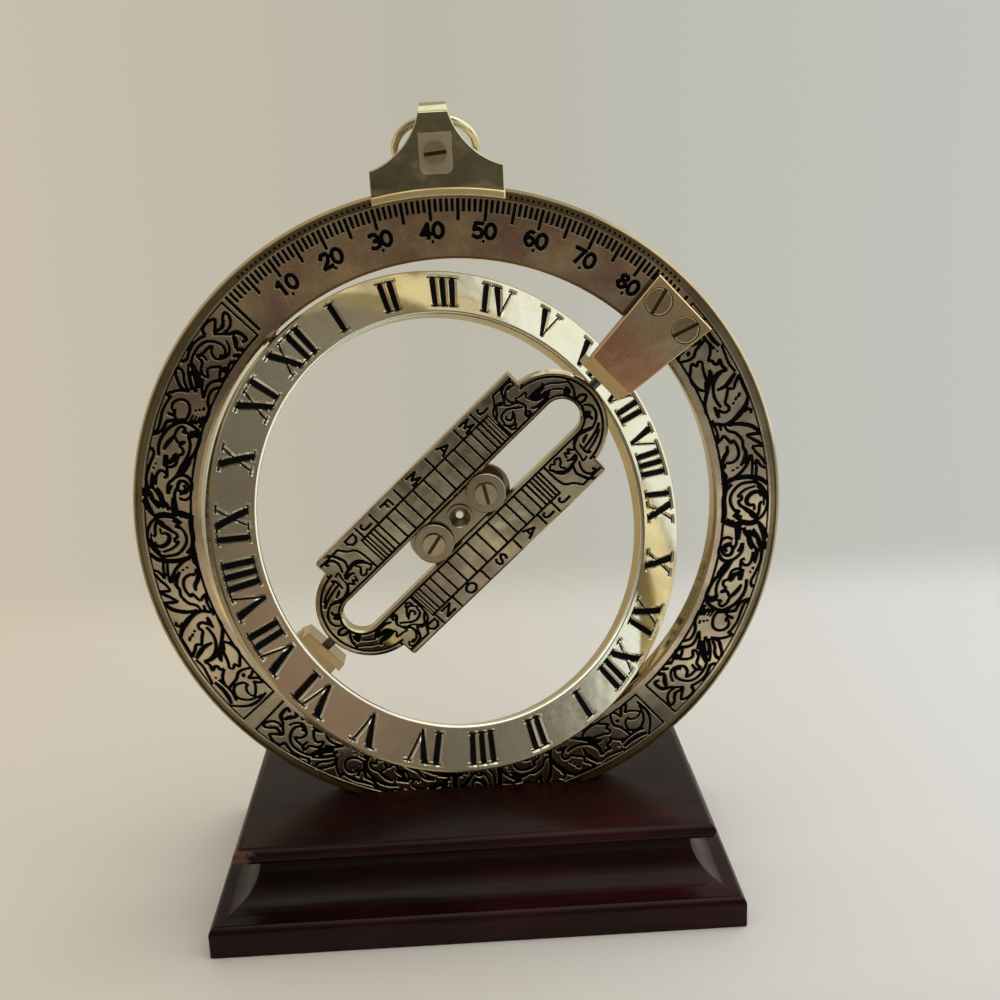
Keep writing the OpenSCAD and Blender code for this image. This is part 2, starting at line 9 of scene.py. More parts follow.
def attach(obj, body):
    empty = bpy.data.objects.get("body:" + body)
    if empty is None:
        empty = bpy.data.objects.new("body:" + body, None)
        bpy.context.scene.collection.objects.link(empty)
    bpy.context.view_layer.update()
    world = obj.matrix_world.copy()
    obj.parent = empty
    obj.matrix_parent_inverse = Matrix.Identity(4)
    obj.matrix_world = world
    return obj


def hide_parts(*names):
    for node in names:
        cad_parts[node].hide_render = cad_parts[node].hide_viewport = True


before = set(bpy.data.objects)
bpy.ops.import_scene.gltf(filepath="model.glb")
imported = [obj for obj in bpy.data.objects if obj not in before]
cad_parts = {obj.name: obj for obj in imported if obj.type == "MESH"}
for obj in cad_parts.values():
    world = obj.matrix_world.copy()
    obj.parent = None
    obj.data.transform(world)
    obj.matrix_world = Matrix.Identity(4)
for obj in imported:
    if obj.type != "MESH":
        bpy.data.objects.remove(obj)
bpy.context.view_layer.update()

# Frames of the dial, in millimetres: x right, y up, z out of the front face
DIAL = Matrix.Translation((0, 0, 0.0731)) @ Matrix.Rotation(math.radians(90), 4, "X") @ Matrix.Scale(0.001, 4)
# Turned until x runs along the bridge and y along the hour ring's pins
POLAR = DIAL @ Matrix.Rotation(math.radians(42.6), 4, "Z")
HOUR = POLAR @ Matrix.Rotation(math.radians(32), 4, "Y")
CLASP = DIAL @ Matrix.Rotation(math.radians(0.9), 4, "Z")
STAND = Matrix.Scale(0.001, 4)
# Front faces of the meridian ring, the hour ring and the bridge, and the middle radius of the hour figures
RING_FACE, HOUR_FACE, BRIDGE_FACE, HOUR_MEAN = 2.5, 1.8, 1.5, 42.9


# Shader helpers

def add(tree, kind, inputs=None, **props):
    node = tree.nodes.new(kind)
    for key, value in props.items():
        setattr(node, key, value)
    for key, value in (inputs or {}).items():
        if isinstance(value, bpy.types.NodeSocket):
            tree.links.new(value, node.inputs[key])
        else:
            node.inputs[key].default_value = value
    return node


def material(name, **values):
    mat = bpy.data.materials.new(name)
    mat.use_nodes = True
    shader = mat.node_tree.nodes["Principled BSDF"]
    for key, value in values.items():
        shader.inputs[key.replace("_", " ").title().replace("Ior", "IOR")].default_value = value
    return mat, mat.node_tree, shader


def ramp(tree, fac, *stops):
    node = add(tree, "ShaderNodeValToRGB", {"Fac": fac})
    while len(node.color_ramp.elements) < len(stops):
        node.color_ramp.elements.new(0.5)
    for element, (position, colour) in zip(node.color_ramp.elements, stops):
        element.position = position
        element.color = (*colour, 1)
    return node.outputs["Color"]


def grey(value):
    return (value, value, value)


def calc(tree, operation, *values):
    return add(tree, "ShaderNodeMath", dict(enumerate(values)), operation=operation).outputs[0]


def span(tree, value, start, end, low=0.0, high=1.0, kind="LINEAR"):
    """The value carried over from one range to another, and held at its ends"""
    return add(tree, "ShaderNodeMapRange", {"Value": value, 1: start, 2: end, 3: low, 4: high},
               interpolation_type=kind).outputs[0]


def mix(tree, factor, under, over, blend="MIX"):
    return add(tree, "ShaderNodeMix", {"Factor": factor, 6: under, 7: over}, data_type="RGBA",
               blend_type=blend).outputs[2]


def split(tree, vector):
    return list(add(tree, "ShaderNodeSeparateXYZ", {0: vector}).outputs)


def joined(tree, x, y):
    return add(tree, "ShaderNodeCombineXYZ", {0: x, 1: y}).outputs[0]


def position(tree):
    return add(tree, "ShaderNodeTexCoord").outputs["Object"]


def local_coords(tree, matrix):
    """Coordinates of a dial frame, in millimetres, for turning and brushing marks"""
    loc, rot, scale = matrix.inverted().decompose()
    return add(tree, "ShaderNodeMapping", {"Vector": position(tree), "Location": loc, "Rotation": rot.to_euler(),
                                           "Scale": scale}).outputs["Vector"]


def noise(tree, vector, scale, detail=3.0, rough=0.55, stretch=None):
    if stretch:
        vector = add(tree, "ShaderNodeVectorMath", {0: vector, 1: stretch}, operation="MULTIPLY").outputs[0]
    return add(tree, "ShaderNodeTexNoise", {"Vector": vector, "Scale": scale, "Detail": detail,
                                            "Roughness": rough}).outputs["Fac"]


def bump(tree, height, strength, distance, **under):
    return add(tree, "ShaderNodeBump", {"Height": height, "Strength": strength, "Distance": distance,
                                        **under}).outputs[0]


def brass(name, frame_matrix, light, dark, rough, marks, wear=0.05, corner_shade=0.7, reach=0.6, reflection_tint=None, dent=0.075):
    """Polished brass: clouded tone, fine marks along the way it was worked, painted shade in the corners.

    marks is "turned", or how far the noise of the marks is stretched along each axis. reach and dent are in
    millimetres; the last argument is a painted reflection: a second colour and the range of x over which it comes in."""
    mat, tree, shader = material(name, metallic=1.0)
    where = local_coords(tree, frame_matrix)
    x, y, z = split(tree, where)
    if marks == "turned":
        radius = add(tree, "ShaderNodeVectorMath", {0: joined(tree, x, y)}, operation="LENGTH").outputs["Value"]
        grain = noise(tree, joined(tree, radius, z), 9.0, 5.0, 0.7)
    else:
        grain = noise(tree, where, 6.0, 5.0, 0.7, marks)
    tone = ramp(tree, noise(tree, where, 0.09, 4.0, 0.6), (0.36, dark), (0.62, light))
    # Painted reflection: a second colour mixed in along x
    if reflection_tint:
        colour, start, end = reflection_tint
        tone = mix(tree, span(tree, x, start, end, kind="SMOOTHSTEP"), tone, (*colour, 1))
    # Painted shade: ambient occlusion darkens the colour in corners and recesses
    corner = add(tree, "ShaderNodeAmbientOcclusion", {"Distance": reach * 0.001}, samples=4).outputs["AO"]
    painted_shade = ramp(tree, corner, (0.2, [max(1 - corner_shade * k, 0) for k in (1.0, 1.05, 1.1)]), (0.75, grey(1.0)))
    tree.links.new(mix(tree, 1.0, tone, painted_shade, "MULTIPLY"), shader.inputs["Base Color"])
    spread = span(tree, noise(tree, where, 1.6, 5.0, 0.65), 0.3, 0.7, rough - wear, rough + wear)
    streak = span(tree, grain, 0.3, 0.7, -wear / 2, wear / 2)
    tree.links.new(calc(tree, "ADD", spread, streak), shader.inputs["Roughness"])
    scratched = bump(tree, grain, 0.10, 0.00003)
    tree.links.new(bump(tree, noise(tree, where, 0.12, 2.0, 0.5), 1.0, dent * 0.001, Normal=scratched),
                   shader.inputs["Normal"])
    return mat


def wax(name):
    mat, tree, shader = material(name, specular_ior_level=0.06)
    lumps = noise(tree, position(tree), 2600.0, 4.0)
    tree.links.new(ramp(tree, lumps, (0.3, (0.0008, 0.0008, 0.001)), (0.75, (0.004, 0.0035, 0.003))),
                   shader.inputs["Base Color"])
    tree.links.new(ramp(tree, lumps, (0.2, grey(0.42)), (0.8, grey(0.7))), shader.inputs["Roughness"])
    tree.links.new(bump(tree, lumps, 0.25, 0.00004), shader.inputs["Normal"])
    return mat


def mahogany(name):
    mat, tree, shader = material(name, coat_weight=0.12, coat_roughness=0.12, specular_ior_level=0.12)
    where = position(tree)
    x, y, z = split(tree, where)
    grain = noise(tree, where, 240.0, 6.0, 0.65, (0.09, 1.0, 1.0))
    pores = noise(tree, where, 1500.0, 3.0, 0.6, (0.05, 1.0, 1.0))
    figure = calc(tree, "MULTIPLY_ADD", grain, noise(tree, where, 34.0, 3.0), 0.25)
    wood = ramp(tree, figure, (0.36, (0.008, 0.0018, 0.0020)), (0.5, (0.018, 0.0030, 0.0030)),
                (0.66, (0.036, 0.0060, 0.0052)))
    wood = mix(tree, 1.0, wood, ramp(tree, pores, (0.3, grey(0.45)), (0.44, grey(1.0))), "MULTIPLY")
    # Lacquer rubbed through at the front left corner of the board
    rub = calc(tree, "MULTIPLY", span(tree, x, -0.033, -0.0435), span(tree, y, -0.0195, -0.0222))
    rub = calc(tree, "MULTIPLY", rub, calc(tree, "GREATER_THAN", z, 0.0115))
    patch = calc(tree, "MULTIPLY", rub, noise(tree, where, 420.0, 5.0, 0.7))
    bare = ramp(tree, patch, (0.30, grey(0.0)), (0.42, grey(0.8)))
    tree.links.new(mix(tree, bare, wood, (0.16, 0.075, 0.05, 1)), shader.inputs["Base Color"])
    tree.links.new(ramp(tree, noise(tree, where, 90.0, 5.0), (0.3, grey(0.30)), (0.7, grey(0.46))),
                   shader.inputs["Roughness"])
    tree.links.new(bump(tree, pores, 0.06, 0.00006), shader.inputs["Normal"])
    return mat


RING_BRASS = brass("ring_brass", POLAR, (0.80, 0.67, 0.42), (0.49, 0.365, 0.265), 0.15, "turned", 0.04)
RIM_BRASS = brass("rim_brass", POLAR, (0.54, 0.42, 0.20), (0.46, 0.34, 0.155), 0.2, "turned", 0.04)
GROOVE_BRASS = brass("groove_brass", POLAR, (0.36, 0.30, 0.17), (0.26, 0.21, 0.12), 0.32, "turned")
# Lighter brass for the sloping sides of engraved lines: painted highlight
EDGE_HIGHLIGHT_BRASS = brass("edge_highlight_brass", POLAR, (0.95, 0.86, 0.64), (0.90, 0.79, 0.56), 0.5, "turned", corner_shade=0.1)
HOUR_BRASS = brass("hour_brass", HOUR, (0.80, 0.81, 0.67), (0.75, 0.72, 0.54), 0.13, "turned", 0.04, corner_shade=0.3)
GOLD_BRASS = brass("gold_brass", HOUR, (0.54, 0.44, 0.22), (0.46, 0.36, 0.17), 0.2, "turned", 0.04)
# Lighter brass for the walls of the numerals and the rounded bore: painted highlight
WALL_HIGHLIGHT_BRASS = brass("wall_highlight_brass", HOUR, (0.90, 0.88, 0.72), (0.84, 0.80, 0.62), 0.2, "turned", corner_shade=0.0)
BRIDGE_BRASS = brass("bridge_brass", POLAR, (0.52, 0.46, 0.28), (0.27, 0.19, 0.145), 0.13, (0.08, 1.0, 1.0), 0.04,
                     dent=0.28)
# Copper tint towards the bracket's inner end: painted reflection
BRACKET_BRASS = brass("bracket_brass", POLAR, (0.98, 0.77, 0.44), (0.92, 0.69, 0.38), 0.14, (0.06, 1.0, 1.0), 0.03,
                      reflection_tint=((1.0, 0.52, 0.27), 50.0, 43.5), dent=0.12)
# Lighter golden brass for the bracket bends and screw rims: painted highlight
BEND_HIGHLIGHT_BRASS = brass("bend_highlight_brass", POLAR, (1.0, 0.83, 0.49), (0.96, 0.77, 0.43), 0.85, (1.0, 0.08, 1.0))
# Much darker brass for the upper bracket's side and back faces: painted shade
LEG_SHADE_BRASS = brass("leg_shade_brass", POLAR, (0.24, 0.185, 0.085), (0.19, 0.145, 0.065), 0.3, (1.0, 0.08, 1.0))
CLASP_BRASS = brass("clasp_brass", CLASP, (0.60, 0.58, 0.37), (0.42, 0.40, 0.25), 0.17, (1.0, 0.08, 1.0), 0.04,
                    dent=0.5)
LIP_BRASS = brass("lip_brass", CLASP, (0.96, 0.80, 0.44), (0.90, 0.72, 0.37), 0.5, "turned", corner_shade=0.2)
PAD_BRASS = brass("pad_brass", CLASP, (0.88, 0.76, 0.50), (0.80, 0.66, 0.42), 0.42, (0.3, 0.05, 0.3), 0.03)
SCREW_BRASS = brass("screw_brass", POLAR, (0.62, 0.50, 0.29), (0.52, 0.40, 0.23), 0.2, (0.3, 0.06, 0.3), 0.03,
                    corner_shade=0.95, reach=1.0)
CLAMP_BRASS = brass("clamp_brass", CLASP, (0.70, 0.58, 0.36), (0.62, 0.49, 0.29), 0.34, (0.05, 0.3, 0.3), 0.03,
                    corner_shade=0.95, reach=1.0)
SLIDER_BRASS = brass("slider_brass", POLAR, (0.42, 0.36, 0.23), (0.34, 0.28, 0.17), 0.22, (0.05, 0.3, 0.3), 0.03)
WIRE_BRASS = brass("wire_brass", CLASP, (0.80, 0.71, 0.48), (0.70, 0.58, 0.36), 0.2, (0.3, 0.3, 0.06), 0.03)
PIN_STEEL = brass("pin_steel", POLAR, (0.20, 0.17, 0.14), (0.12, 0.10, 0.085), 0.34, (1.0, 1.0, 0.1))
# Dark brass for the floors of screw slots: painted shade
SLOT_SHADE_BRASS = brass("slot_shade_brass", POLAR, (0.15, 0.115, 0.065), (0.11, 0.08, 0.045), 0.4, (0.3, 0.06, 0.3), 0.03)
BLACK_WAX = wax("black_wax")
MAHOGANY = mahogany("mahogany")


# Mesh helpers

def node_mesh(node, matrix):
    """The node's own solid as a bmesh, in millimetres of the frame given"""
    bm = bmesh.new()
    bm.from_mesh(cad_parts[node].data)
    bm.transform(matrix.inverted())
    bmesh.ops.remove_doubles(bm, verts=bm.verts, dist=0.003)
    bmesh.ops.dissolve_limit(bm, angle_limit=math.radians(0.2), verts=bm.verts, edges=bm.edges)
    return bm


def piece(name, bm, matrix, body, nodes, mats, sharp=20, creases=()):
    bm.transform(matrix)
    bmesh.ops.recalc_face_normals(bm, faces=bm.faces)
    for face in bm.faces:
        face.smooth = True
    for edge in bm.edges:
        edge.smooth = len(edge.link_faces) == 2 and edge.calc_face_angle(9) < math.radians(sharp)
    for edge in creases:
        edge.smooth = False
    mesh = bpy.data.meshes.new(name)
    bm.to_mesh(mesh)
    bm.free()
    for mat in mats:
        mesh.materials.append(mat)
    obj = bpy.data.objects.new(name, mesh)
    bpy.context.scene.collection.objects.link(obj)
    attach(obj, body)
    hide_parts(*nodes)
    return obj


def dressed(name, node, matrix, body, mats, bevel=0.1, paint=None, rounds=(), shaded_slots=False):
    """The node with its sharp edges softened, as they are on the finished part; the floors of screw slots can be
    painted dark with the last material, as painted shade
    """
    bm = node_mesh(node, matrix)
    for pick, offset in (*rounds, (lambda c, d: True, bevel)):
        edges = [e for e in bm.edges if len(e.link_faces) == 2 and e.calc_face_angle(0) > math.radians(28)
                 and pick((e.verts[0].co + e.verts[1].co) / 2, e.verts[1].co - e.verts[0].co)]
        bmesh.ops.bevel(bm, geom=edges, offset=offset, offset_type="OFFSET", segments=2 if offset < 0.2 else 4,
                        profile=0.5, affect="EDGES", clamp_overlap=True)
    if paint:
        bm.normal_update()
        for face in bm.faces:
            face.material_index = paint(face.calc_center_median(), face.normal)
    # Painted shade: floors of screw slots take the last material, a dark brass
    if shaded_slots:
        bm.normal_update()
        top = max(abs(v.co.z) for v in bm.verts)
        for face in bm.faces:
            middle = face.calc_center_median()
            if face.normal.z * math.copysign(1, middle.z) > 0.9 and abs(middle.z) < top - 0.2:
                face.material_index = len(mats) - 1
    obj = piece(name, bm, matrix, body, (node,), mats, 40)
    soft = obj.modifiers.new("flat faces", "WEIGHTED_NORMAL")
    soft.keep_sharp = True
    return obj


def signed_area(poly):
    return sum(a[0] * b[1] - b[0] * a[1] for a, b in zip(poly, poly[1:] + poly[:1]))


def boundary_loops(bm):
    """Loops of vertices round the opening left by deleted faces"""
    open_edges = {e for e in bm.edges if len(e.link_faces) == 1}
    loops = []
    while open_edges:
        edge = open_edges.pop()
        loop = [edge.verts[0], edge.verts[1]]
        while True:
            step = next((e for e in loop[-1].link_edges if e in open_edges), None)
            if step is None:
                break
            open_edges.remove(step)
            loop.append(step.other_vert(loop[-1]))
        if loop[0] is loop[-1]:
            loop.pop()
        loops.append(loop)
    return sorted(loops, key=lambda loop: -max(abs(v.co.x) for v in loop))


def planar_map(loops, shapes):
    """Triangles between the loops, split along the edges of all the shapes"""
    points, faces = [], []
    for poly in [[(v.co.x, v.co.y) for v in loop] for loop in loops] + shapes:
        poly = poly if signed_area(poly) > 0 else poly[::-1]
        faces.append(list(range(len(points), len(points) + len(poly))))
        points.extend(poly)
    at = {}
    for loop in loops:
        for vert in loop:
            at[(round(vert.co.x, 4), round(vert.co.y, 4))] = vert
    verts, _, tris, _, _, covers = delaunay_2d_cdt([Vector(p) for p in points], [], faces, 1, 1e-5, True)
    kept = []
    for tri, cover in zip(tris, covers):
        if 0 in cover and not any(0 < k < len(loops) for k in cover):
            kept.append(tri)
    return verts, kept, at


class Cover:
    """Finds whether a point lies in any of many small convex polygons"""

    def __init__(self, polys, cell=1.0):
        self.cell, self.grid = cell, {}
        for poly in polys:
            poly = poly if signed_area(poly) > 0 else poly[::-1]
            xs, ys = [p[0] for p in poly], [p[1] for p in poly]
            for i in range(math.floor(min(xs) / cell - 0.01), math.floor(max(xs) / cell + 0.01) + 1):
                for j in range(math.floor(min(ys) / cell - 0.01), math.floor(max(ys) / cell + 0.01) + 1):
                    self.grid.setdefault((i, j), []).append(poly)

    def holds(self, x, y, slack=0.0):
        near = self.grid.get((math.floor(x / self.cell), math.floor(y / self.cell)), ())
        return any(depth_inside(poly, x, y) > -slack for poly in near)


def open_face(bm, pick):
    """Removes the faces whose corners are all picked"""
    gone = [f for f in bm.faces if all(pick(v.co) for v in f.verts)]
    bmesh.ops.delete(bm, geom=gone, context="FACES")
    return boundary_loops(bm)


def engrave(bm, z, loops, paths, depth, shoulder):
    """Closes an opened face with one that has the paths let into it: black floors, and sloping sides in a lighter
    brass as a painted highlight
    """
    floors = [quad for path in paths for quad in ribbon(path)]
    brims = [quad for path in paths for quad in ribbon(path, shoulder)]
    verts, tris, at = planar_map(loops, floors + brims)
    floor, brim = Cover(floors), Cover(brims)
    made, low = [], []
    for v in verts:
        edge = at.get((round(v.x, 4), round(v.y, 4)))
        low.append(not edge and floor.holds(v.x, v.y, 0.001))
        made.append(edge or bm.verts.new((v.x, v.y, z - depth * low[-1])))
    for tri in tris:
        face = bm.faces.new([made[i] for i in tri])
        middle = (verts[tri[0]] + verts[tri[1]] + verts[tri[2]]) / 3
        if all(low[i] for i in tri):
            face.material_index = 1
        elif brim.holds(middle.x, middle.y):
            # Sloping sides take the third material, a lighter brass: painted highlight
            face.material_index = 2


# Drawing helpers: a path is its points, the widths along it and whether it is closed

def curve(points, closed=False, steps=4):
    """Smooth path through the points"""
    pts = [Vector(p) for p in points]
    n = len(pts)
    out = []
    for i in range(n if closed else n - 1):
        a, b = pts[i], pts[(i + 1) % n]
        before = pts[i - 1] if closed or i else a
        after = pts[(i + 2) % n] if closed or i + 2 < n else b
        out += [p.to_2d() for p in interpolate_bezier(a.to_3d(), (a + (b - before) / 6).to_3d(),
                                                     (b - (after - a) / 6).to_3d(), b.to_3d(), steps + 1)[:-1]]
    return out + ([] if closed else [pts[-1]])


def ribbon(path, grow=0.0):
    """Convex quads along a path, with a margin; the widths are spread evenly over it"""
    points, widths, closed = path
    n = len(points)
    left, right = [], []
    for i, p in enumerate(points):
        a = points[i - 1] if i or closed else p
        b = points[(i + 1) % n] if i + 1 < n or closed else p
        d = (b - a).normalized()
        t = i / max(n - 1, 1) * (len(widths) - 1)
        k = min(int(t), max(len(widths) - 2, 0))
        w = widths[k] if len(widths) == 1 else widths[k] + (widths[k + 1] - widths[k]) * (t - k)
        side = Vector((-d.y, d.x)) * (w / 2 + grow)
        if not closed:
            p = p + d * grow * ((i == n - 1) - (i == 0))
        left.append(p + side)
        right.append(p - side)
    quads = []
    for i in range(n if closed else n - 1):
        j = (i + 1) % n
        quad = [left[i], left[j], right[j], right[i]]
        quads.append([quad[k] for k in convex_hull_2d(quad)])
    return [q for q in quads if len(q) > 2 and abs(signed_area(q)) > 4e-4]


def line(width, *points):
    return ([Vector(p) for p in points], [width], False)


def stroke(points, widths, closed=False):
    return (curve(points, closed), widths, closed)


def angular(points, width):
    """Straight segments that overlap at their corners"""
    out = []
    for a, b in zip(points, points[1:]):
        a, b = Vector(a), Vector(b)
        lap = (b - a).normalized() * width * 0.35
        out.append(line(width, a - lap, b + lap))
    return out


def wrap(x, y, radius, start):
    """Drawing coordinates bent round the dial: x runs clockwise from the start angle, y outwards"""
    return Vector(((radius + y) * math.sin(start + x / radius), (radius + y) * math.cos(start + x / radius)))


def bend(paths, radius, start):
    return [([wrap(p.x, p.y, radius, start) for p in points], widths, closed) for points, widths, closed in paths]


GLYPHS = {
    "0": [[(0.5, 1), (0.08, 0.75), (0.08, 0.25), (0.5, 0), (0.92, 0.25), (0.92, 0.75)]],
    "1": [[(0.2, 0.78), (0.55, 1), (0.55, 0)]],
    "2": [[(0.06, 0.74), (0.3, 0.98), (0.72, 0.98), (0.92, 0.74), (0.7, 0.45), (0.05, 0), (0.98, 0)]],
    "3": [[(0.06, 0.84), (0.4, 1), (0.85, 0.85), (0.8, 0.6), (0.45, 0.54), (0.9, 0.42), (0.92, 0.15),
           (0.5, 0), (0.04, 0.14)]],
    "4": [[(0.72, 0), (0.72, 1), (0.02, 0.3), (1, 0.3)]],
    "5": [[(0.9, 1), (0.2, 1), (0.1, 0.56), (0.55, 0.63), (0.93, 0.42), (0.85, 0.1), (0.45, 0), (0.04, 0.12)]],
    "6": [[(0.86, 0.9), (0.5, 1), (0.14, 0.7), (0.08, 0.3), (0.45, 0), (0.9, 0.2), (0.84, 0.5),
           (0.45, 0.6), (0.1, 0.36)]],
    "7": [[(0.02, 1), (0.96, 1), (0.38, 0)]],
    "8": [[(0.5, 1), (0.16, 0.78), (0.5, 0.54), (0.84, 0.78), (0.5, 1)],
          [(0.5, 0.54), (0.06, 0.27), (0.5, 0), (0.94, 0.27), (0.5, 0.54)]],
    "J": [[(0.72, 1), (0.72, 0.26), (0.5, 0.02), (0.2, 0.06), (0.12, 0.3)]],
    "F": [[(0.14, 0), (0.14, 1), (0.9, 1)], [(0.14, 0.54), (0.72, 0.54)]],
    "M": [[(0, 0), (0.08, 1), (0.5, 0.25), (0.92, 1), (1, 0)]],
    "A": [[(0, 0), (0.5, 1), (1, 0)], [(0.2, 0.34), (0.8, 0.34)]],
    "D": [[(0.1, 0), (0.1, 1), (0.55, 1), (0.94, 0.72), (0.94, 0.28), (0.55, 0), (0.1, 0)]],
    "S": [[(0.88, 0.84), (0.5, 1), (0.12, 0.8), (0.3, 0.58), (0.75, 0.42), (0.9, 0.2), (0.5, 0), (0.08, 0.16)]],
    "O": [[(0.5, 1), (0.06, 0.75), (0.06, 0.25), (0.5, 0), (0.94, 0.25), (0.94, 0.75)]],
    "N": [[(0.06, 0), (0.06, 1), (0.94, 0), (0.94, 1)]],
}
ROUND = "0O8S36J"


def glyph(char, x, y, width, height, weight):
    """A letter or figure with its lower left corner at x, y"""
    out = []
    for path in GLYPHS[char]:
        pts = [(x + px * width, y + py * height) for px, py in path]
        out += [stroke(pts, [weight], char in "0O")] if char in ROUND else angular(pts, weight)
    return out


def strokes_of(text):
    """Widths and points of strokes; each line of the text is one, as its widths, a colon and its x,y points"""
    rows = [row.split(":") for row in text.strip().splitlines() if not row.startswith("#")]
    return [([float(w) for w in widths.split()], [tuple(map(float, p.split(","))) for p in points.split()])
            for widths, points in rows]


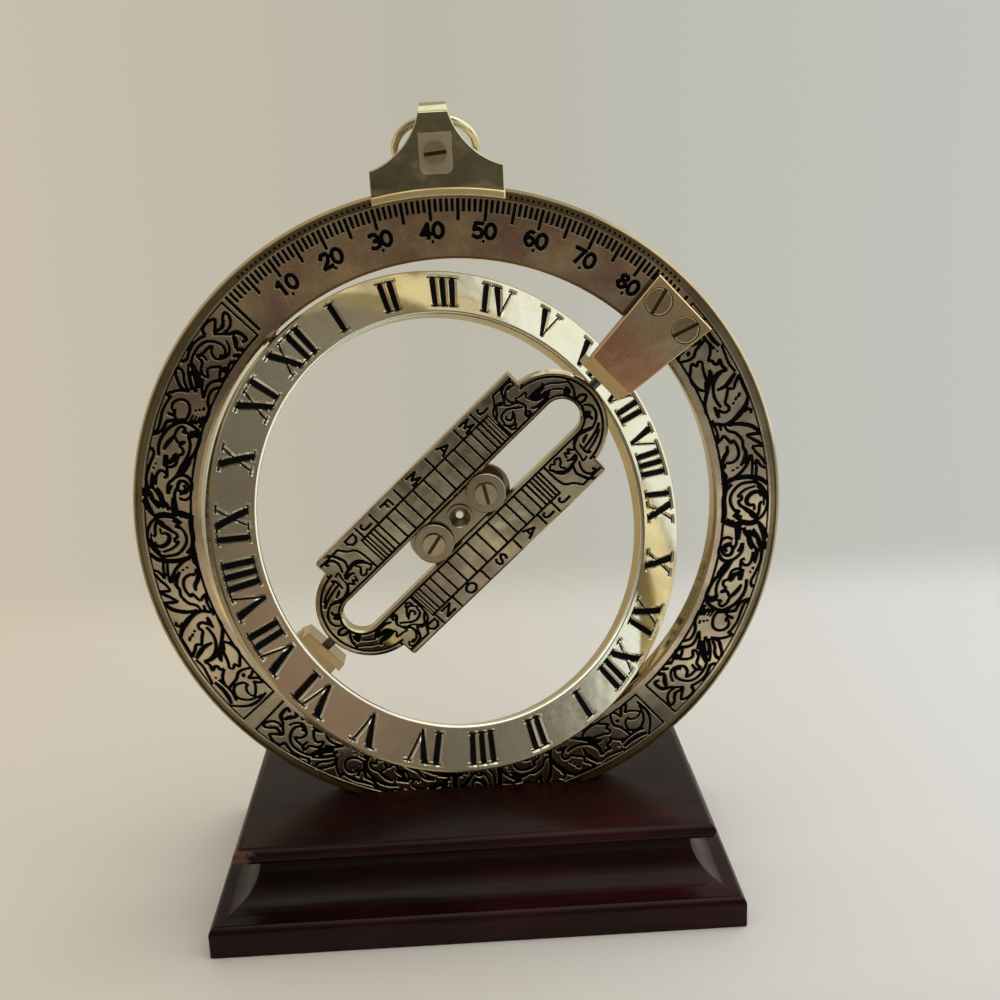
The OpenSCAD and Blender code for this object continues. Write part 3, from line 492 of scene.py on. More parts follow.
# Acanthus scroll of one ornament panel, in sixths of a millimetre from the panel's left end and from the track
SCROLL = strokes_of("""
# Corner leaf and lily
2 3 4 2: 30,7 22,15 16,23 13,32 13,40 14,49
2 3 2.5: 15,44 18,34 22,27 28,22 34,20.5 40,23 44,28 43,34 40,38.5 34,40
2 2 2.5: 19,37 24,34 30,34 36,38
2 2.5 3: 19,36 23,41 29,46 34,48 30,51 26,57
3 3 2: 27,58 34,55 40,48 42,47 43,52 47,59
1 5 1: 46,42 48,44 50,46
3 3 3 2: 46,22 48,30 50,36 54,41 54,48 50,58
2 3 3: 46,21 52,20 58,22 63,26 67,31
3 4 3: 67,31 69,27 74,26 75,23 73,19 80,20 86,17
3 5 5 3: 30,10 38,13 50,14 60,12
3 3: 29,17 38,20 48,20 60,18
2.5 2.5: 60,9 70,11 82,12.5 92,10
1 2 1: 63,16 64.5,17.5
# Crossing leaf
3 6 5 2: 93,11 98,20 101,27 101,37
4 4 3 3: 86,17 85,24 88,32 94,38 104,42 113,42 121,40
3 4 4 3: 84,22 85,31 91,41 100,49 112,56 124,58
2 7 8 2: 76,34 83,36 89,43 97,48
2 3 3: 65,36 70,39 78,41 85,42
2 3 3 3 4 2: 65,36 62,40 65,44 60,47 66,52 72,56 81,57 90,54 97,48
# Feathered leaf
4 3 3 3 3 4: 97,8 102,15 107,20 105,25 112,30 118,34 123,32 127,33 128,38 124,43 121,47
3 6 7 5 4 3: 121,8 129,14 134,21 138,28 141,36 141,44 136,52
3 4 3: 96,8 108,8.5 121,8
2.5 2.5: 114,15 118,18.5
2.5 2: 117,20 120,23
2 1.5: 121,24.5 123,27
2 5 5 2: 117,47 122,46 127,46 132,46
2 4 2: 139,12 136,10 133,14 136,18
2 2.5 2: 137,50 141,48 147,48
2.5 3 3: 131,54 146,53 156,54 160,58
# Spray of three leaves
2 5 5 3: 144,39 145,29 150,18 156,11 164,7
2 4 3: 163,8 161,15 160,23
2 4 3: 160,23 167,16 172,10 177,7
2 3 2.5: 176,8 174.5,14 174,19
2 3 3: 174,19 181,16 188,11 196,7
2 3 3 2.5: 200,7 196,13 189,17 202,18.5 214,22
3 3 2: 182,21.5 192,21.5 206,24
# Arched leaf
2 3 3 3 5 3: 141,43 149,41 154,34 160,30 166,28 172,29 179,27 186,30 193,35
3 5 3: 182,22 187,26 191,31
3 3 3 3: 153,47 158,44 164,41 162,38 170,35 178,35 184,38 187,44 186,51
3 3 3: 153,47 157,51 160,58
2 5 5 3: 166,46 173,47 178,51 184,54 190,57
3 3.5 4: 184,23 190,26 198,33 204,41 208,48 213,56
1 3 1: 193,39 195.5,39
1 3 1: 195,44 197.5,44
3 3 4 5: 186,52 191,53 193,56 198,55 203,53 213,57
# Great scroll
3 6 6 6 4: 218,6 211,14 207,26 206,38 208,49 216,57
4 4 3 3 3: 212,24 215,18 222,12 231,8 241,8 250,12 256,19 258,28 256,38 250,46
2 2 1: 218,19 224,14 232,11.5 240,11.5
3 3 3 2: 213,24 213.5,36 219,44 227,49 236,49 244,45 249,40
2 3 3 3 3: 218,21 221,33 228,41 228,37 232,37 234,40 239,38 244,30 251,25 253,20 247,17 238,16 236,13
3 5 5 3 2: 230,14 225,17 225,24 230,30 236,31 239,27 239,23 245,22
2 6 5 2: 252,19 248,25 244,31 239,37
2 3 3: 244,45 246,39 249,43 253,36
3 5 6 6: 213,47 220,54 232,57 246,56 260,57
# Wedge and torn leaves
2 7 8 6: 257,18 265,12 276,7 288,6
6 7 7 8 9: 258,18 260,27 259,35 262,43 258,54
1 2 2: 266,22 276,14 287,8
4 4 2: 268,24 273,21 276,16 282,14 290,8
3 3 3: 290,9 288,16 281,22 273,25 267,27
4 3 4: 268,29 276,27 284,24 289,19
2 2: 290,12.5 305,13.5
2 2: 289,15.5 303,15.8
5 4 2: 265,33 271,31 275,28
5 4 2: 264,38 270,37 280,37
4 3 3: 257,47 265,42 275,40 285,39 293,42
3 3 4 3 3: 280,44 278,50 282,56 290,58 299,57 306,52 307,45 303,38 297,33 290,31 283,32
2 3 4 3 3: 284,44 287,51 293,54 299,51 300,45 295,42 289,43 288,48 292,50.5 296,48
5 4 2: 284,32 289,33 294,36
# Curled leaf over the volute
3 3 2.5 4: 288,9 300,7.5 310,9 318,11 325,12.5 330,10 329,6
3 3 3 3: 292,18 302,18 308,21 308,26 304,30 301,26
2 3 2: 304,30 310,29 315,28
1 3 1: 309,14 311.5,14.5
1 2 1: 314,16 316,16.5
3 4 4 4 4 3: 324,18 334,16 344,17 354,21 362,27 367,35 367,43 364,51 358,56 348,57.5 336,55 325,50 315,45 305,43
3 3 3 3: 299,35 306,40 316,43 326,47 336,49 346,48 353,44
3 7 5: 314,25 321,26 327,25
3 6 6 3: 317,27 322,33 327,35 331,37
3 3: 315,24 314,31 318,37 325,38
2 5 5 2: 331,22 338,24 344,27 350,30
3 3 3: 348,31 343,36 346,42 340,38 337,42 332,43 329,39 324,38
3 3 3 3: 349,30 357,31 362,35 360,39 356,38 357,43
4 9 9 3: 351,45 356,47 358,51 355,56
4 7 4: 308,45 317,48 326,52
# Knob and bell leaf
3 3 4: 344,6 348,13 355,17 363,18
2.5 3 2.5 3 3 3: 347,6 351,11 360,11.5 372,10.5 384,12.5 388,14 388,9 393,13 398,20 401,29
5 4 4 3: 362,18 364,22 367,27 370,24
3 4 3: 371,16 371,22 376,24
2 3 3 3 3 3: 378,24 375,21 380,18 386,20 390,26 389,33 383,37 376,38 368,36
4 4 3: 366,27 369,34 371,37
2.5 1.5: 368,41 379,43
2.5 1.5: 369,44.5 379,46.5
2.5 1.5: 369,48 380,50
2.5 1.5: 371,52 382,53
1 2.5 1: 383,43 385.5,43.5
1 2.5 1: 385,46.5 388,47
1 2.5 1: 387,51 392,50
3 4 4 3 3 3: 367,52 373,56 384,57.5 392,56 398,52 405,50 413,50 419,54 421,59
# Stem and serrated scroll
3 4 3 3: 401,30 401,20 406,14 411,9 416,6
3 3 4: 401,29 405,24 410,19 414,17 418,12 418,6
2 2.5 2.5: 403,31 411,25 419,19.5 427,16
2.5 2.5 2.5: 403,36 409,34 417,28 421,22 412,26 403,36
2 7 6 5 2: 430,18 426,22 422,29 417,34 409,38
2 3 4: 400,46 408,41 415,38 421,36
2.5 3 4 4: 402,46 412,44 420,45 426,50 430,55 438,59
4 3 3: 425,8 430,12 438,10 447,9.5 455,12 461,15
3 3 3 3 3 3: 427,18 438,15.5 449,16 457,20 462,28 463,36 459,42 454,42 452,38
2 3 3 3 3: 470,35 466,42 459,46 452,43.5 447,37 450,30 456,27 450,24 444,23 439,19
3 3 3 3 3 3: 438,19 436,27 428,30 424,35 425,40 431,36 436,38 440,43 442,47 435,49 429,52
3 3 2: 438,18 442,24 440,31
2.5 3 2.5: 428,53 437,55.5 447,53 453,52
3 4: 438,52 446,50
3 5 5: 452,51 455,55 457,59
3 5 5: 460,50 464,54 465,59
3 5 6: 468,49 472,53 473,59
3 6 4: 469,49 475,44 479,38
2 3 5 4 3: 467,21 473,28 478,34 484,38 486,44 485,51 479,49
4 3 3 3 4: 461,15 464,9 470,8 477,10 480,13 475,17 469,21
4 3 3 3 3: 470,20 479,24 486,18 492,16 492,22 487,28 480,30 475,28
3 2: 478,23 486,20.5
""")

# Middle radius of the panels and the scale, and the radii of the panels' border lines
PANEL_MEAN, PANEL_TOP, PANEL_BOTTOM = 53.45, 57.6, 49.3
SCROLL_TOP = 58.75


def panel_cuts(start):
    """Border lines and scroll of the quadrant that starts at the angle given, clockwise from the 0 mark"""
    left, right = 1.45, 82.9 if start == 270 else 82.5
    top, bottom = PANEL_TOP - PANEL_MEAN, PANEL_BOTTOM - PANEL_MEAN
    cells = 60
    paths = [line(width, *[(left + (right - left) * i / cells, level) for i in range(cells + 1)])
             for level, width in ((top, 0.26), (bottom, 0.42))]
    paths += [line(0.42, (x, bottom - 0.2), (x, top + 0.12)) for x in (left, right)]
    for widths, points in SCROLL:
        pts = [(x / 6, max(min(SCROLL_TOP - y / 6, PANEL_TOP), PANEL_BOTTOM) - PANEL_MEAN) for x, y in points]
        paths.append(stroke(pts, [0.2 + 0.13 * w for w in widths]))
    return bend(paths, PANEL_MEAN, math.radians(start))


def scale_cuts():
    """Degree scale of the first quadrant"""
    paths = []
    for degree in range(0, 91):
        x = math.radians(degree) * PANEL_MEAN
        low = 49.6 if degree in (0, 90) else 54.1 if degree % 5 == 0 else 55.6
        if degree != 89:
            paths.append(line(0.58 if degree % 5 == 0 else 0.54, (x, low - PANEL_MEAN), (x, 57.75 - PANEL_MEAN)))
    for ten in range(10, 90, 10):
        x = math.radians(ten) * PANEL_MEAN
        for k, char in enumerate(str(ten)):
            paths += glyph(char, x + (k - 1) * 2.2 + 0.22, 51.2 - PANEL_MEAN, 1.8, 2.45, 0.72)
        paths.append(line(0.5, (x, 50.3 - PANEL_MEAN), (x, 50.85 - PANEL_MEAN)))
    return bend(paths, PANEL_MEAN, 0)


# Vine in one arched end of the bridge, in millimetres from its middle; the other end is turned half round
VINE = strokes_of("""
0.27 0.42 0.42 0.34: 24.2,10.4 24.7,10.8 24.6,11.4 23.9,11.7 23,11.6 22.2,11.3 21.7,10.5 21.3,9.7 20.7,9.1
0.3 0.38 0.38: 24.2,10.6 23.9,11 23.3,11 22.7,10.8 22.2,10.3 21.9,9.7 21.9,8.9 22.4,8.2 22.9,7.5
0.57: 23.2,10.9 23.9,10.9
0.3 0.42 0.42 0.3: 18,8.3 18.8,9.1 19.5,9.9 20.2,10.1 21.1,9.6
0.27 0.34 0.27: 19.8,9.9 20.6,9.3 21.2,8.6 22.2,8
0.3 0.38 0.38 0.34: 18.5,6.6 18.5,7.4 18.9,8 19.8,8.3 20.6,8.2 21.3,7.8 22,7.2 22.9,6.5
0.27 0.42 0.3: 19.8,7.4 19.3,7.2 19.3,6.7 19.7,6.3 20.4,6.6 21.2,7.3
0.34 0.45 0.3: 18.1,6.8 18.5,6 19.2,5.4 20.1,5.7 21,6.8
0.3 0.38 0.27: 18.5,5.9 18.6,5 19.3,4.7 20,5.3
0.3 0.38 0.3: 22.8,8.5 23.1,7.4 23.4,6.3 22.8,5.7
0.42 0.57 0.42: 23.4,6.3 22.9,5.7 22.4,5.2 22.4,4.7 23.1,4.7 23.2,5.4
0.27 0.34 0.3: 22.8,8.6 23.8,8.3 24.7,8.2 25.2,8 24.6,7.4 24.8,6.7
0.34 0.45 0.57 0.49 0.27: 23.8,5.3 24.6,4.8 25.7,4.6 26.9,4.6 27.9,4.9 28.6,5.5
0.45 0.83 0.91 0.68 0.3: 24.8,6.8 25.8,6.7 27,6.6 28,6.6 28.5,7.2
0.38 0.83 0.76 0.34: 24.9,6.6 25.6,5.9 26.7,5.5 28.1,5.5
0.3 0.34 0.3: 28.5,6.6 29.6,6 30.7,5 31.7,4.2
0.3 0.34 0.34: 28.2,5.5 29.4,4.7 30.4,3.7
0.34 0.45 0.45 0.34: 31.9,4.4 32,3.3 31.7,2.3 31.2,1.5 30.6,0.8
0.34 0.45 0.38: 30.6,3.5 29.8,2.6 29.7,1.8 30.1,1.1 30.6,0.8
0.38 1.14 0.76: 31,3.7 30.7,2.8 30.6,2.1
0.45 0.49 0.45: 29.5,0.7 30.5,0.6 31.5,0.7 32.3,0.3 32.5,-0.2 31.8,-0.6 30.9,-0.4 30.1,0
0.38 0.45 0.42: 30.9,-1 30,-1.6 29.7,-2.4 29.9,-3.1 30.4,-3.7 30.2,-4.3
0.34 0.42 0.42 0.34: 31,-1.1 31.8,-1.9 31.9,-2.9 31.5,-3.9 30.7,-4.7 29.6,-5.2
0.45 0.98 0.76: 30.2,-2.1 30.4,-2.8 30.7,-3.3
0.34 0.61 0.68 0.45: 24,-5.9 24.7,-5.2 25.5,-4.7 26.5,-4.4 27.7,-4.7 28.6,-5.1 29.6,-5.3
0.27 0.49 0.27: 26,-6.2 26.7,-5.8 27.7,-5.5
0.34 0.42 0.42 0.49: 25.5,-7 26.9,-6.8 28.2,-6.5 29.6,-6.1 30.7,-5.5
0.3 0.38 0.34: 25.6,-7.9 27.1,-7.6 28.6,-7.1 30,-6.4
0.3 0.34 0.3: 24.6,-5.3 24.1,-6.3 24,-7.5 23.7,-8.6 24.8,-8.4
0.34 0.42 0.34: 25.4,-5.9 25.2,-7.1 25.4,-8.1 26,-8.4
0.34 0.38 0.38: 21.9,-6.2 22.3,-5.1 22.8,-5.8 23.2,-5 23.7,-5.7 24.2,-5.9
0.34 0.57 0.45: 21.5,-6.4 22.4,-6.9 23.4,-6.8 22.8,-7.5 21.2,-7.7
0.3 0.38 0.38 0.34: 18.2,-5.3 19,-4.9 19.4,-5.3 20.1,-4.8 20.9,-5.1 20.6,-5.8 20.1,-6.2 20,-6.7 20.5,-7.3
0.34 0.49 0.76 0.68 0.38: 18.1,-5.2 18.5,-6.2 19,-7.1 19.8,-7.7 20.9,-7.9 22.1,-7.8
0.38 0.49 0.42: 21.7,-8.1 21.2,-9.3 21.5,-10.5 22,-11.6 23,-12.6 23.8,-13
0.34 0.42 0.45 0.34: 23.1,-8.1 22.5,-9.3 22.4,-10.3 22.8,-11.2 23.5,-11.6 24.2,-11.3 23.8,-10.8
""")


def bridge_cuts():
    """Border, vines, month letters and declination cells of the bridge's face"""
    paths = []
    for end in (1, -1):
        for widths, points in VINE:
            paths.append(stroke([(x * end, y * end) for x, y in points], [1.3 * w for w in widths]))
        for side in (1, -1):
            # Shouldered border: ogee, corner, step and arch
            ogee = curve([(17.7, 4.25), (17.75, 7.6), (18.2, 9.4), (19.4, 10.3), (20.1, 11.2), (20.5, 11.85)])
            arch = [(24.1 + 9.3 * math.cos(a), 9.3 * math.sin(a))
                    for a in (math.radians(86 - 86 * i / 24) for i in range(25))]
            for run in (ogee, [(20.4, 11.85), (25.75, 11.85)], [(25.6, 12.0), (25.6, 9.1)], arch):
                paths.append(line(0.46, *[(x * end, y * side) for x, y in run]))
        arc = [(end * (26.55 + 4.2 * math.cos(a)), 4.2 * math.sin(a))
               for a in (math.radians(-90 + 180 * i / 30) for i in range(31))]
        paths.append(line(0.44, *arc))
    upper = ([-16.0, -15.3, -14.6, -13.7, -12.8, -11.6, -9.4, -7.2, -4.9, -2.4, 0.4, 3.4, 6.1, 8.4, 11.0, 12.8, 14.3,
              15.3, 16.1, 16.8, 17.3], [-15.2, -11.4, -4.8, 3.5, 11.0, 15.2],
             [("D", -17.3), ("J", -13.3), ("F", -7.9), ("M", -0.7), ("A", 7.2), ("M", 13.2), ("J", 17.4)])
    lower = ([-17.3, -16.8, -16.2, -15.4, -14.0, -12.4, -10.3, -7.8, -5.3, -2.6, 0.0, 2.9, 5.5, 7.8, 9.9, 11.9, 13.1,
              14.0, 14.8, 15.6, 16.4], [-16.9, -12.1, -4.6, 3.9, 10.5, 14.0],
             [("D", -18.6), ("N", -14.5), ("O", -8.3), ("S", -0.3), ("A", 7.3), ("J", 12.2), ("J", 16.3)])
    for side, (cells, months, letters) in ((1, upper), (-1, lower)):
        inner, outer, edge = 4.2 * side, 9.9 * side, 12.55 * side
        paths.append(line(0.44, (-26.55, inner), (26.55, inner)))
        gaps = [b - a for a, b in zip(cells, cells[1:])]
        paths += [line(min(0.42, 0.52 * gap), (x, inner), (x, outer))
                  for x, gap in zip(cells, map(min, gaps[:1] + gaps, gaps + gaps[-1:]))]
        paths.append(line(0.44, (cells[0] - 0.19, outer), (cells[-1] + 0.19, outer)))
        paths += [line(0.44, (x, outer), (x, edge)) for x in months]
        for char, x in letters:
            for points, widths, closed in glyph(char, -0.9, -1.05, 1.8, 2.1, 0.5):
                paths.append(([Vector((x + p.y, 11.3 * side - p.x)) for p in points], widths, closed))
    return paths


# Roman numerals: strokes with sloping walls

def quad(t0, t1, b0, b1, top=2.95, bottom=-2.95):
    return [(b0, bottom), (b1, bottom), (t1, top), (t0, top)]


def numeral(text):
    """Convex strokes of a numeral, centred, tops at +y"""
    strokes, x = [], 0.0
    for char in text:
        if char == "I":
            strokes += [quad(x, x + 1.15, x, x + 1.15), quad(x - 0.4, x + 1.55, x - 0.4, x + 1.55, 2.95, 2.58),
                        quad(x - 0.4, x + 1.55, x - 0.4, x + 1.55, -2.58, -2.95)]
            x += 1.9
        elif char == "V":
            strokes += [quad(x, x + 1.4, x + 1.75, x + 2.5), quad(x + 3.6, x + 4.05, x + 1.95, x + 2.4),
                        quad(x - 0.4, x + 1.75, x - 0.4, x + 1.75, 2.95, 2.58),
                        quad(x + 3.15, x + 4.5, x + 3.15, x + 4.5, 2.95, 2.58)]
            x += 4.8
        else:
            strokes += [quad(x + 0.1, x + 1.5, x + 3.0, x + 4.4), quad(x + 3.5, x + 3.95, x + 0.5, x + 0.95),
                        quad(x - 0.3, x + 1.9, x - 0.3, x + 1.9, 2.95, 2.58),
                        quad(x + 3.05, x + 4.5, x + 3.05, x + 4.5, 2.95, 2.58),
                        quad(x - 0.0, x + 1.45, x - 0.0, x + 1.45, -2.58, -2.95),
                        quad(x + 2.6, x + 4.75, x + 2.6, x + 4.75, -2.58, -2.95)]
            x += 5.15
    middle = (x - 0.75) / 2
    return [outset([(px - middle, py) for px, py in s], -0.07) for s in strokes]


def outset(poly, by):
    """Convex polygon grown by a margin"""
    n = len(poly)
    lines = []
    for a, b in zip(poly, poly[1:] + poly[:1]):
        d = Vector((b[0] - a[0], b[1] - a[1])).normalized()
        out = Vector((d.y, -d.x))
        lines.append((Vector(a) + out * by, d))
    grown = []
    for i in range(n):
        (p, d), (q, e) = lines[i - 1], lines[i]
        cross = d.x * e.y - d.y * e.x
        t = ((q.x - p.x) * e.y - (q.y - p.y) * e.x) / cross
        grown.append(tuple(p + d * t))
    return grown


def divided(poly, parts=6):
    """Polygon with its edges split, so that it can be bent"""
    out = []
    for a, b in zip(poly, poly[1:] + poly[:1]):
        out += [(a[0] + (b[0] - a[0]) * i / parts, a[1] + (b[1] - a[1]) * i / parts) for i in range(parts)]
    return out


def depth_inside(poly, x, y):
    """Least distance inside the edges of a convex polygon"""
    best = 9.0
    for (ax, ay), (bx, by) in zip(poly, poly[1:] + poly[:1]):
        length = math.hypot(bx - ax, by - ay)
        best = min(best, ((bx - ax) * (y - ay) - (by - ay) * (x - ax)) / length)
    return best


def cut_numerals(bm, z, loops, mean, depth, slope):
    """Closes the hour ring's opened face with one that has the 24 numerals sunk into it"""
    hours = ["XII", "I", "II", "III", "IV", "V", "VI", "VII", "VIII", "IX", "X", "XI"] * 2
    strokes, shapes = [], []
    for k, text in enumerate(hours):
        strokes.append([outset(flat, slope) for flat in numeral(text)])
        for poly in numeral(text) + strokes[k]:
            shapes.append([tuple(wrap(x, y, mean, math.radians(15 * k))) for x, y in divided(poly)])
    verts, tris, at = planar_map(loops, shapes)

    def sunk(v):
        angle = math.atan2(v.x, v.y) % math.tau
        k = round(angle / math.radians(15)) % 24
        x = ((angle - math.radians(15 * k) + math.pi) % math.tau - math.pi) * mean
        best = max(depth_inside(poly, x, v.length - mean) for poly in strokes[k])
        return min(max(best / slope, 0.0), 1.0)

    made = []
    for v in verts:
        edge = at.get((round(v.x, 4), round(v.y, 4)))
        made.append(edge or bm.verts.new((v.x, v.y, z - depth * sunk(v))))
    for tri in tris:
        face = bm.faces.new([made[i] for i in tri])
        middle = (verts[tri[0]] + verts[tri[1]] + verts[tri[2]]) / 3
        part = sunk(middle)
        # Walls of the numerals take the third material, a lighter brass: painted highlight
        face.material_index = 1 if part > 0.95 else 2 if part > 0.02 else 0


# Pieces

def build_meridian():
    bm = node_mesh("meridian_ring", POLAR)
    loops = open_face(bm, lambda p: 47.9 < p.xy.length < 58.15 and p.z > 2.2)
    for face in bm.faces:
        radii = [v.co.xy.length for v in face.verts]
        if min(radii) > 59.15 or max(radii) < 48.1:
            face.material_index = 3
        elif min(radii) > 58.0:
            face.material_index = 4
    paths = [path for start in (90, 180, 270) for path in panel_cuts(start)] + scale_cuts()
    engrave(bm, RING_FACE, loops, paths, 0.2, 0.1)
    # Pricked dots in the clasp's track, a degree apart
    for degree in range(4, 88):
        at = wrap(0, 0, 58.65, math.radians(degree))
        made = bmesh.ops.create_cone(bm, cap_ends=True, segments=10, radius1=0.24, radius2=0.24, depth=0.12,
                                     matrix=Matrix.Translation((at.x, at.y, 1.9)))["verts"]
        for face in {f for v in made for f in v.link_faces}:
            face.material_index = 1
    piece("meridian_ring_engraved", bm, POLAR, "meridian", ("meridian_ring",),
          (RING_BRASS, BLACK_WAX, EDGE_HIGHLIGHT_BRASS, RIM_BRASS, GROOVE_BRASS))


def build_hour():
    bm = node_mesh("hour_ring", HOUR)
    # Chamfers of the bore rounded
    bore, radius = min(v.co.xy.length for v in bm.verts), 0.7
    slopes = [e for e in bm.edges if all(v.co.xy.length < bore + radius + 0.05 for v in e.verts)
              and abs(e.verts[0].co.z - e.verts[1].co.z) > 0.6
              and abs(e.verts[0].co.xy.length - e.verts[1].co.xy.length) > 0.6]
    for vert in bmesh.ops.subdivide_edges(bm, edges=slopes, cuts=5, use_grid_fill=True)["geom_inner"]:
        if isinstance(vert, bmesh.types.BMVert):
            turn = (vert.co.xy.length - bore) / radius * math.pi / 2
            scale = (bore + radius - radius * math.cos(turn)) / vert.co.xy.length
            vert.co = (vert.co.x * scale, vert.co.y * scale,
                       math.copysign(HOUR_FACE - radius + radius * math.sin(turn), vert.co.z))
    bm.normal_update()
    loops = open_face(bm, lambda p: p.z > HOUR_FACE - 0.01)
    for face in bm.faces:
        rim = face.calc_center_median().xy.length
        # The rounded bore takes the third material, a lighter brass: painted highlight
        face.material_index = 0 if abs(face.normal.z) > 0.9 else 2 if rim < 41 and abs(face.normal.z) > 0.2 else 3
    cut_numerals(bm, HOUR_FACE, loops, HOUR_MEAN, 0.4, 0.34)
    rims = [e for e in bm.edges if all(abs(v.co.z) > HOUR_FACE - 0.001
                                        and v.co.xy.length < bore + radius + 0.05 for v in e.verts)]
    piece("hour_ring_engraved", bm, HOUR, "hour", ("hour_ring",),
          (HOUR_BRASS, BLACK_WAX, WALL_HIGHLIGHT_BRASS, GOLD_BRASS), creases=rims)


def build_bridge():
    bm = node_mesh("bridge_plate", POLAR)
    corners = [e for e in bm.edges if (e.verts[0].co - e.verts[1].co).xy.length < 1e-4 and abs(e.verts[0].co.x) > 24
               and abs(e.verts[0].co.y) > 11.5]
    bmesh.ops.bevel(bm, geom=corners, offset=0.55, segments=3, profile=0.5, affect="EDGES")
    loops = open_face(bm, lambda p: p.z > BRIDGE_FACE - 0.01)
    for face in bm.faces:
        face.material_index = 3 if abs(face.normal.z) < 0.5 else 0
    engrave(bm, BRIDGE_FACE, loops, bridge_cuts(), 0.18, 0.1)
    piece("bridge_engraved", bm, POLAR, "bridge", ("bridge_plate",),
          (BRIDGE_BRASS, BLACK_WAX, EDGE_HIGHLIGHT_BRASS, RIM_BRASS))


build_meridian()
build_hour()
build_bridge()

for node in ("stand_plinth", "stand_cove", "stand_top"):
    dressed(node + "_wood", node, STAND, "stand", (MAHOGANY,), 0.25)
for end in ("upper", "lower"):
    dressed(end + "_bracket_dressed", end + "_bracket", POLAR, "meridian",
            (BRACKET_BRASS, BEND_HIGHLIGHT_BRASS, LEG_SHADE_BRASS, RING_BRASS) if end == "upper"
            else (RING_BRASS, BEND_HIGHLIGHT_BRASS, RIM_BRASS, RIM_BRASS), 0.1,
            # Bends take the second material, a lighter golden brass: painted highlight
            lambda c, n: 1 if abs(c.x) < 38.3 and abs(c.z) > 2.8 and abs(n.z) > 0.5 and abs(n.x) > 0.5
            # Sides and back take the third material; on the upper bracket a much darker brass: painted shade
            else 2 if abs(c.x) < 46.5 and (abs(n.z) < 0.5 or abs(c.z) < 2.6) else 3 if n.z * c.z < -1 else 0)
    dressed(end + "_bracket_screw_pair", end + "_bracket_screws", POLAR, "meridian",
            # Screw rims take the second material, a lighter golden brass: painted highlight
            (SCREW_BRASS, BEND_HIGHLIGHT_BRASS, SLOT_SHADE_BRASS), 0.1, lambda c, n: int(abs(c.z) > 4.7 and 0.2 < abs(n.z) < 0.97),
            [(lambda c, d: abs(c.z) > 5 and Vector((abs(c.x) - 53.3, abs(c.y) - 3.5)).length > 2.2, 0.3)], shaded_slots=True)
    dressed(end + "_bridge_pin_steel", end + "_bridge_pin", POLAR, "meridian", (PIN_STEEL,), 0.08)
    dressed(end + "_hour_pin_steel", end + "_hour_pin", POLAR, "meridian", (PIN_STEEL,), 0.08)
for node in ("slider_bar", "slider_washers", "slider_back_plate"):
    dressed(node + "_dressed", node, POLAR, "slider", (SLIDER_BRASS,), 0.08)
dressed("slider_screw_pair", "slider_screws", POLAR, "slider", (SCREW_BRASS, SLOT_SHADE_BRASS), 0.1,
        shaded_slots=True)
dressed("clasp_body_dressed", "clasp_body", CLASP, "clasp", (CLASP_BRASS,), 0.15)
for node, way in (("clasp_front_plate", 1), ("clasp_back_plate", -1)):
    dressed(node + "_dressed", node, CLASP, "clasp", (CLASP_BRASS, LIP_BRASS), 0.08,
            lambda c, n, way=way: int(c.xy.length < 59.75 and c.z * way > 4.46),
            [(lambda c, d, way=way: c.z * way > 4.3 and c.xy.length > 60.5 and abs(d.z) < 0.1
              and Vector((c.x, c.y - 65.3)).length > 1.6, 0.4),
             (lambda c, d, way=way: c.z * way > 4.8, 0.34)])
dressed("clasp_pad_dressed", "clasp_pad", CLASP, "clasp", (PAD_BRASS,), 0.14, None,
        [(lambda c, d: abs(d.z) > 0.4 and c.y < 63 and abs(c.x) > 2, 1.2)])
dressed("clasp_screw_dressed", "clasp_screw", CLASP, "clasp", (CLAMP_BRASS, SLOT_SHADE_BRASS), 0.16,
        shaded_slots=True)
dressed("suspension_ring_wire", "suspension_ring", CLASP, "bail", (WIRE_BRASS,))


# Stage

def sheet(name, mat, corners, mirrored=False):
    """A four-cornered sheet; a mirrored one shows only in the polished brass, where its glow is a painted reflection
    """
    mesh = bpy.data.meshes.new(name)
    mesh.from_pydata(corners, [], [(0, 1, 2, 3)])
    mesh.materials.append(mat)
    obj = bpy.data.objects.new(name, mesh)
    bpy.context.scene.collection.objects.link(obj)
    if mirrored:
        for ray in ("camera", "diffuse", "shadow", "transmission"):
            setattr(obj, "visible_" + ray, False)


def lying(x, y0, y1, z):
    return [(-x, y0, z), (x, y0, z), (x, y1, z), (-x, y1, z)]


def paper(name):
    """A material with no surface of its own yet"""
    mat, tree, shader = material(name)
    tree.nodes.remove(shader)
    return mat, tree


def glow(tree, colour, strength):
    light = add(tree, "ShaderNodeEmission", {"Color": colour, "Strength": strength})
    tree.links.new(light.outputs[0], tree.nodes["Material Output"].inputs["Surface"])


def build_floor():
    """Pale floor that fades out behind, so that its far edge is soft"""
    mat, tree, shader = material("floor_paint", roughness=0.7)
    x, y, z = split(tree, position(tree))
    tree.links.new(ramp(tree, span(tree, x, -0.16, 0.14), (0.0, (0.86, 0.775, 0.64)), (0.5, (0.80, 0.76, 0.68)),
                        (1.0, (0.82, 0.825, 0.84))), shader.inputs["Base Color"])
    fade = span(tree, y, 0.13, 0.20, 1.0, 0.0, "SMOOTHSTEP")
    clear = add(tree, "ShaderNodeBsdfTransparent")
    faded = add(tree, "ShaderNodeMixShader", {0: fade, 1: clear.outputs[0], 2: shader.outputs[0]})
    tree.links.new(faded.outputs[0], tree.nodes["Material Output"].inputs["Surface"])
    sheet("floor", mat, lying(0.9, -0.9, 0.21, 0.0))


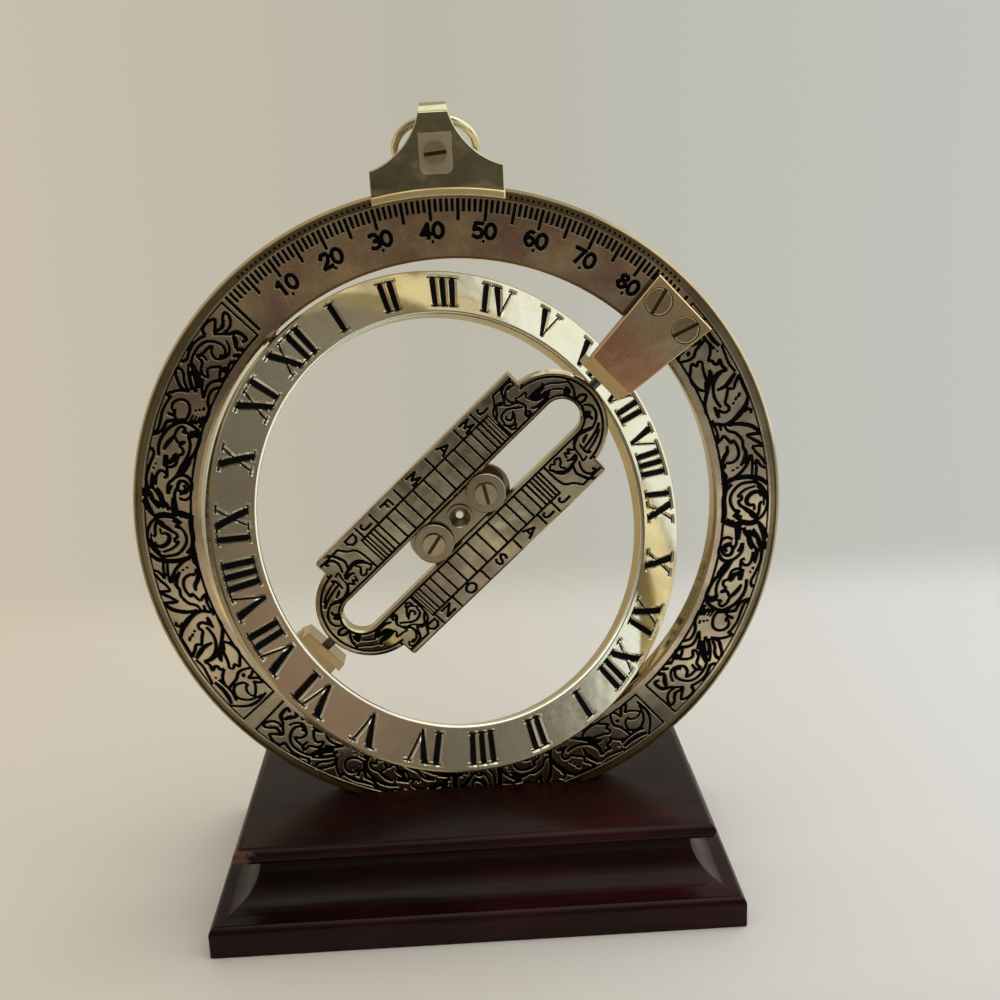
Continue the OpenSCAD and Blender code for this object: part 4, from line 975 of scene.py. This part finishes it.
def build_front_card():
    """Glowing card on the table in front of the dial that shows only in the brass: its graded tones are painted
    reflections
    """
    mat, tree = paper("front_card_glow")
    x, y, z = split(tree, position(tree))
    # Its painted glow falls off with the distance from the dial, and a painted shadow of the stand darkens its near
    # edge
    out = calc(tree, "MULTIPLY", y, -1.0)
    turned = calc(tree, "MAXIMUM", calc(tree, "MULTIPLY_ADD", x, -0.72, out), 0.02)
    level = span(tree, calc(tree, "LOGARITHM", turned, 10.0), -1.1, 0.1)
    tone = ramp(tree, level, (0.0, grey(0.66)), (0.28, grey(0.54)), (0.5, grey(0.33)), (0.71, grey(0.13)),
                (1.0, grey(0.085)))
    painted_stand_shadow = span(tree, out, 0.057, 0.097, 0.1)
    tone = add(tree, "ShaderNodeVectorMath", {0: tone, "Scale": painted_stand_shadow}, operation="SCALE").outputs[0]
    # Painted reflections: warmer to the left, cooler to the right, a warm brown far part and painted patches
    hue = ramp(tree, span(tree, x, -0.15, 0.15), (0.0, (1.08, 0.98, 0.86)), (1.0, (0.96, 1.04, 1.12)))
    tone = mix(tree, 1.0, tone, hue, "MULTIPLY")
    tone = mix(tree, span(tree, out, 1.0, 1.45), tone, (0.28, 0.225, 0.175, 1))
    spot = joined(tree, calc(tree, "MULTIPLY", x, 31.0),
                  calc(tree, "MULTIPLY", calc(tree, "LOGARITHM", out, 10.0), 5.4))
    patchy = ramp(tree, noise(tree, spot, 1.0, 3.0, 0.55), (0.36, (0.34, 0.36, 0.32)), (0.5, grey(1.0)),
                  (0.66, (1.7, 1.4, 1.25)))
    glow(tree, mix(tree, 1.0, tone, patchy, "MULTIPLY"), 1.0)
    sheet("front_card", mat, lying(1.6, -3.0, -0.045, CARD_Z), True)


def build_side_card():
    """Tall glowing card at the back right that shows only in the brass: a painted highlight along the rounded bore of
    the hour ring
    """
    mat, tree = paper("side_card_glow")
    glow(tree, (1.0, 1.0, 0.95, 1), 1.15)
    azimuth, distance, half, tall = math.radians(131), 0.6, 0.13, Vector((0, 0, 0.85))
    middle = Vector((distance * math.sin(azimuth), -distance * math.cos(azimuth), CARD_Z))
    along = Vector((math.cos(azimuth), math.sin(azimuth), 0)) * half
    sheet("side_card", mat, [middle - along, middle + along, middle + along + tall, middle - along + tall], True)


def build_world():
    """Room that is dim towards the viewer and bright above, with a pale wall"""
    world = bpy.data.worlds.new("studio")
    bpy.context.scene.world = world
    world.use_nodes = True
    tree = world.node_tree
    way = add(tree, "ShaderNodeTexCoord").outputs["Generated"]
    x, y, z = split(tree, way)
    room = ramp(tree, span(tree, y, -0.75, 0.35), (0.0, (0.12, 0.105, 0.085)), (0.5, (0.32, 0.30, 0.26)),
                (1.0, (0.58, 0.56, 0.50)))
    mottle = ramp(tree, noise(tree, way, 2.6, 2.0), (0.36, (0.50, 0.50, 0.46)), (0.5, grey(1.0)),
                  (0.64, (1.4, 1.15, 1.0)))
    room = mix(tree, 1.0, room, mottle, "MULTIPLY")
    # Warm patch at the front right
    toward = add(tree, "ShaderNodeVectorMath", {0: way, 1: (0.611, -0.729, 0.309)},
                 operation="DOT_PRODUCT").outputs["Value"]
    room = mix(tree, span(tree, toward, 0.990, 0.998, 0.0, 0.85), room, (0.32, 0.20, 0.145, 1))
    room = mix(tree, span(tree, z, 0.55, 0.95), room, (0.75, 0.75, 0.73, 1))
    wall = ramp(tree, span(tree, x, -0.35, 0.4), (0.0, (0.585, 0.52, 0.41)), (0.45, (0.50, 0.475, 0.395)),
                (1.0, (0.53, 0.55, 0.51)))
    # The brass mirrors the same wall behind the dial; on the viewer's side it mirrors the dim room
    path = add(tree, "ShaderNodeLightPath").outputs
    mirrored = calc(tree, "MAXIMUM", path["Is Glossy Ray"], path["Is Transmission Ray"])
    mirrored = calc(tree, "MULTIPLY", mirrored, span(tree, y, 0.1, 0.4))
    direct = calc(tree, "MAXIMUM", path["Is Camera Ray"], mirrored)
    background = tree.nodes["Background"]
    tree.links.new(mix(tree, direct, room, wall), background.inputs["Color"])
    background.inputs["Strength"].default_value = 1.0


def softbox(name, azimuth, elevation, distance, size, power, colour, roll=0):
    """Square area lamp aimed at the dial; the azimuth runs from the viewer towards the right"""
    az, el = math.radians(azimuth), math.radians(elevation)
    aim = Vector((0, 0, 0.07))
    out = Vector((math.sin(az) * math.cos(el), -math.cos(az) * math.cos(el), math.sin(el)))
    lamp = bpy.data.lights.new(name, "AREA")
    lamp.shape = "RECTANGLE"
    lamp.size = lamp.size_y = size
    lamp.energy = power
    lamp.color = colour
    obj = bpy.data.objects.new(name, lamp)
    obj.location = aim + out * distance
    obj.rotation_euler = (out.to_track_quat("Z", "Y") @ Quaternion((0, 0, 1), math.radians(roll))).to_euler()
    bpy.context.scene.collection.objects.link(obj)


def build_camera():
    """Camera resected from the ring, its scale and the stand"""
    camera = bpy.data.cameras.new("camera")
    camera.sensor_width = 36
    camera.lens = 36 * 1.21708
    camera.clip_start = 0.01
    yaw, pitch, roll = math.radians(1.853), math.radians(15.191), math.radians(-2.348)
    ahead = Vector((math.sin(yaw) * math.cos(pitch), math.cos(yaw) * math.cos(pitch), -math.sin(pitch)))
    flat = Vector((math.cos(yaw), -math.sin(yaw), 0))
    rise = flat.cross(ahead)
    right = flat * math.cos(roll) + rise * math.sin(roll)
    up = rise * math.cos(roll) - flat * math.sin(roll)
    eye = bpy.data.objects.new("camera", camera)
    eye.matrix_world = Matrix((right, up, -ahead)).transposed().to_4x4()
    eye.location = (0.00057, -0.219382, 0.135332)
    bpy.context.scene.collection.objects.link(eye)
    bpy.context.scene.camera = eye


# The cards lie just above the floor
CARD_Z = 0.0012
build_floor()
build_front_card()
build_side_card()
build_world()
softbox("window", 92, 24, 0.75, 0.95, 2.5, (0.96, 1.0, 0.99), -22)
softbox("ceiling", 60, 72, 0.9, 0.9, 2.0, (1.0, 0.98, 0.95))
build_camera()
bpy.context.scene.view_settings.view_transform = "Standard"
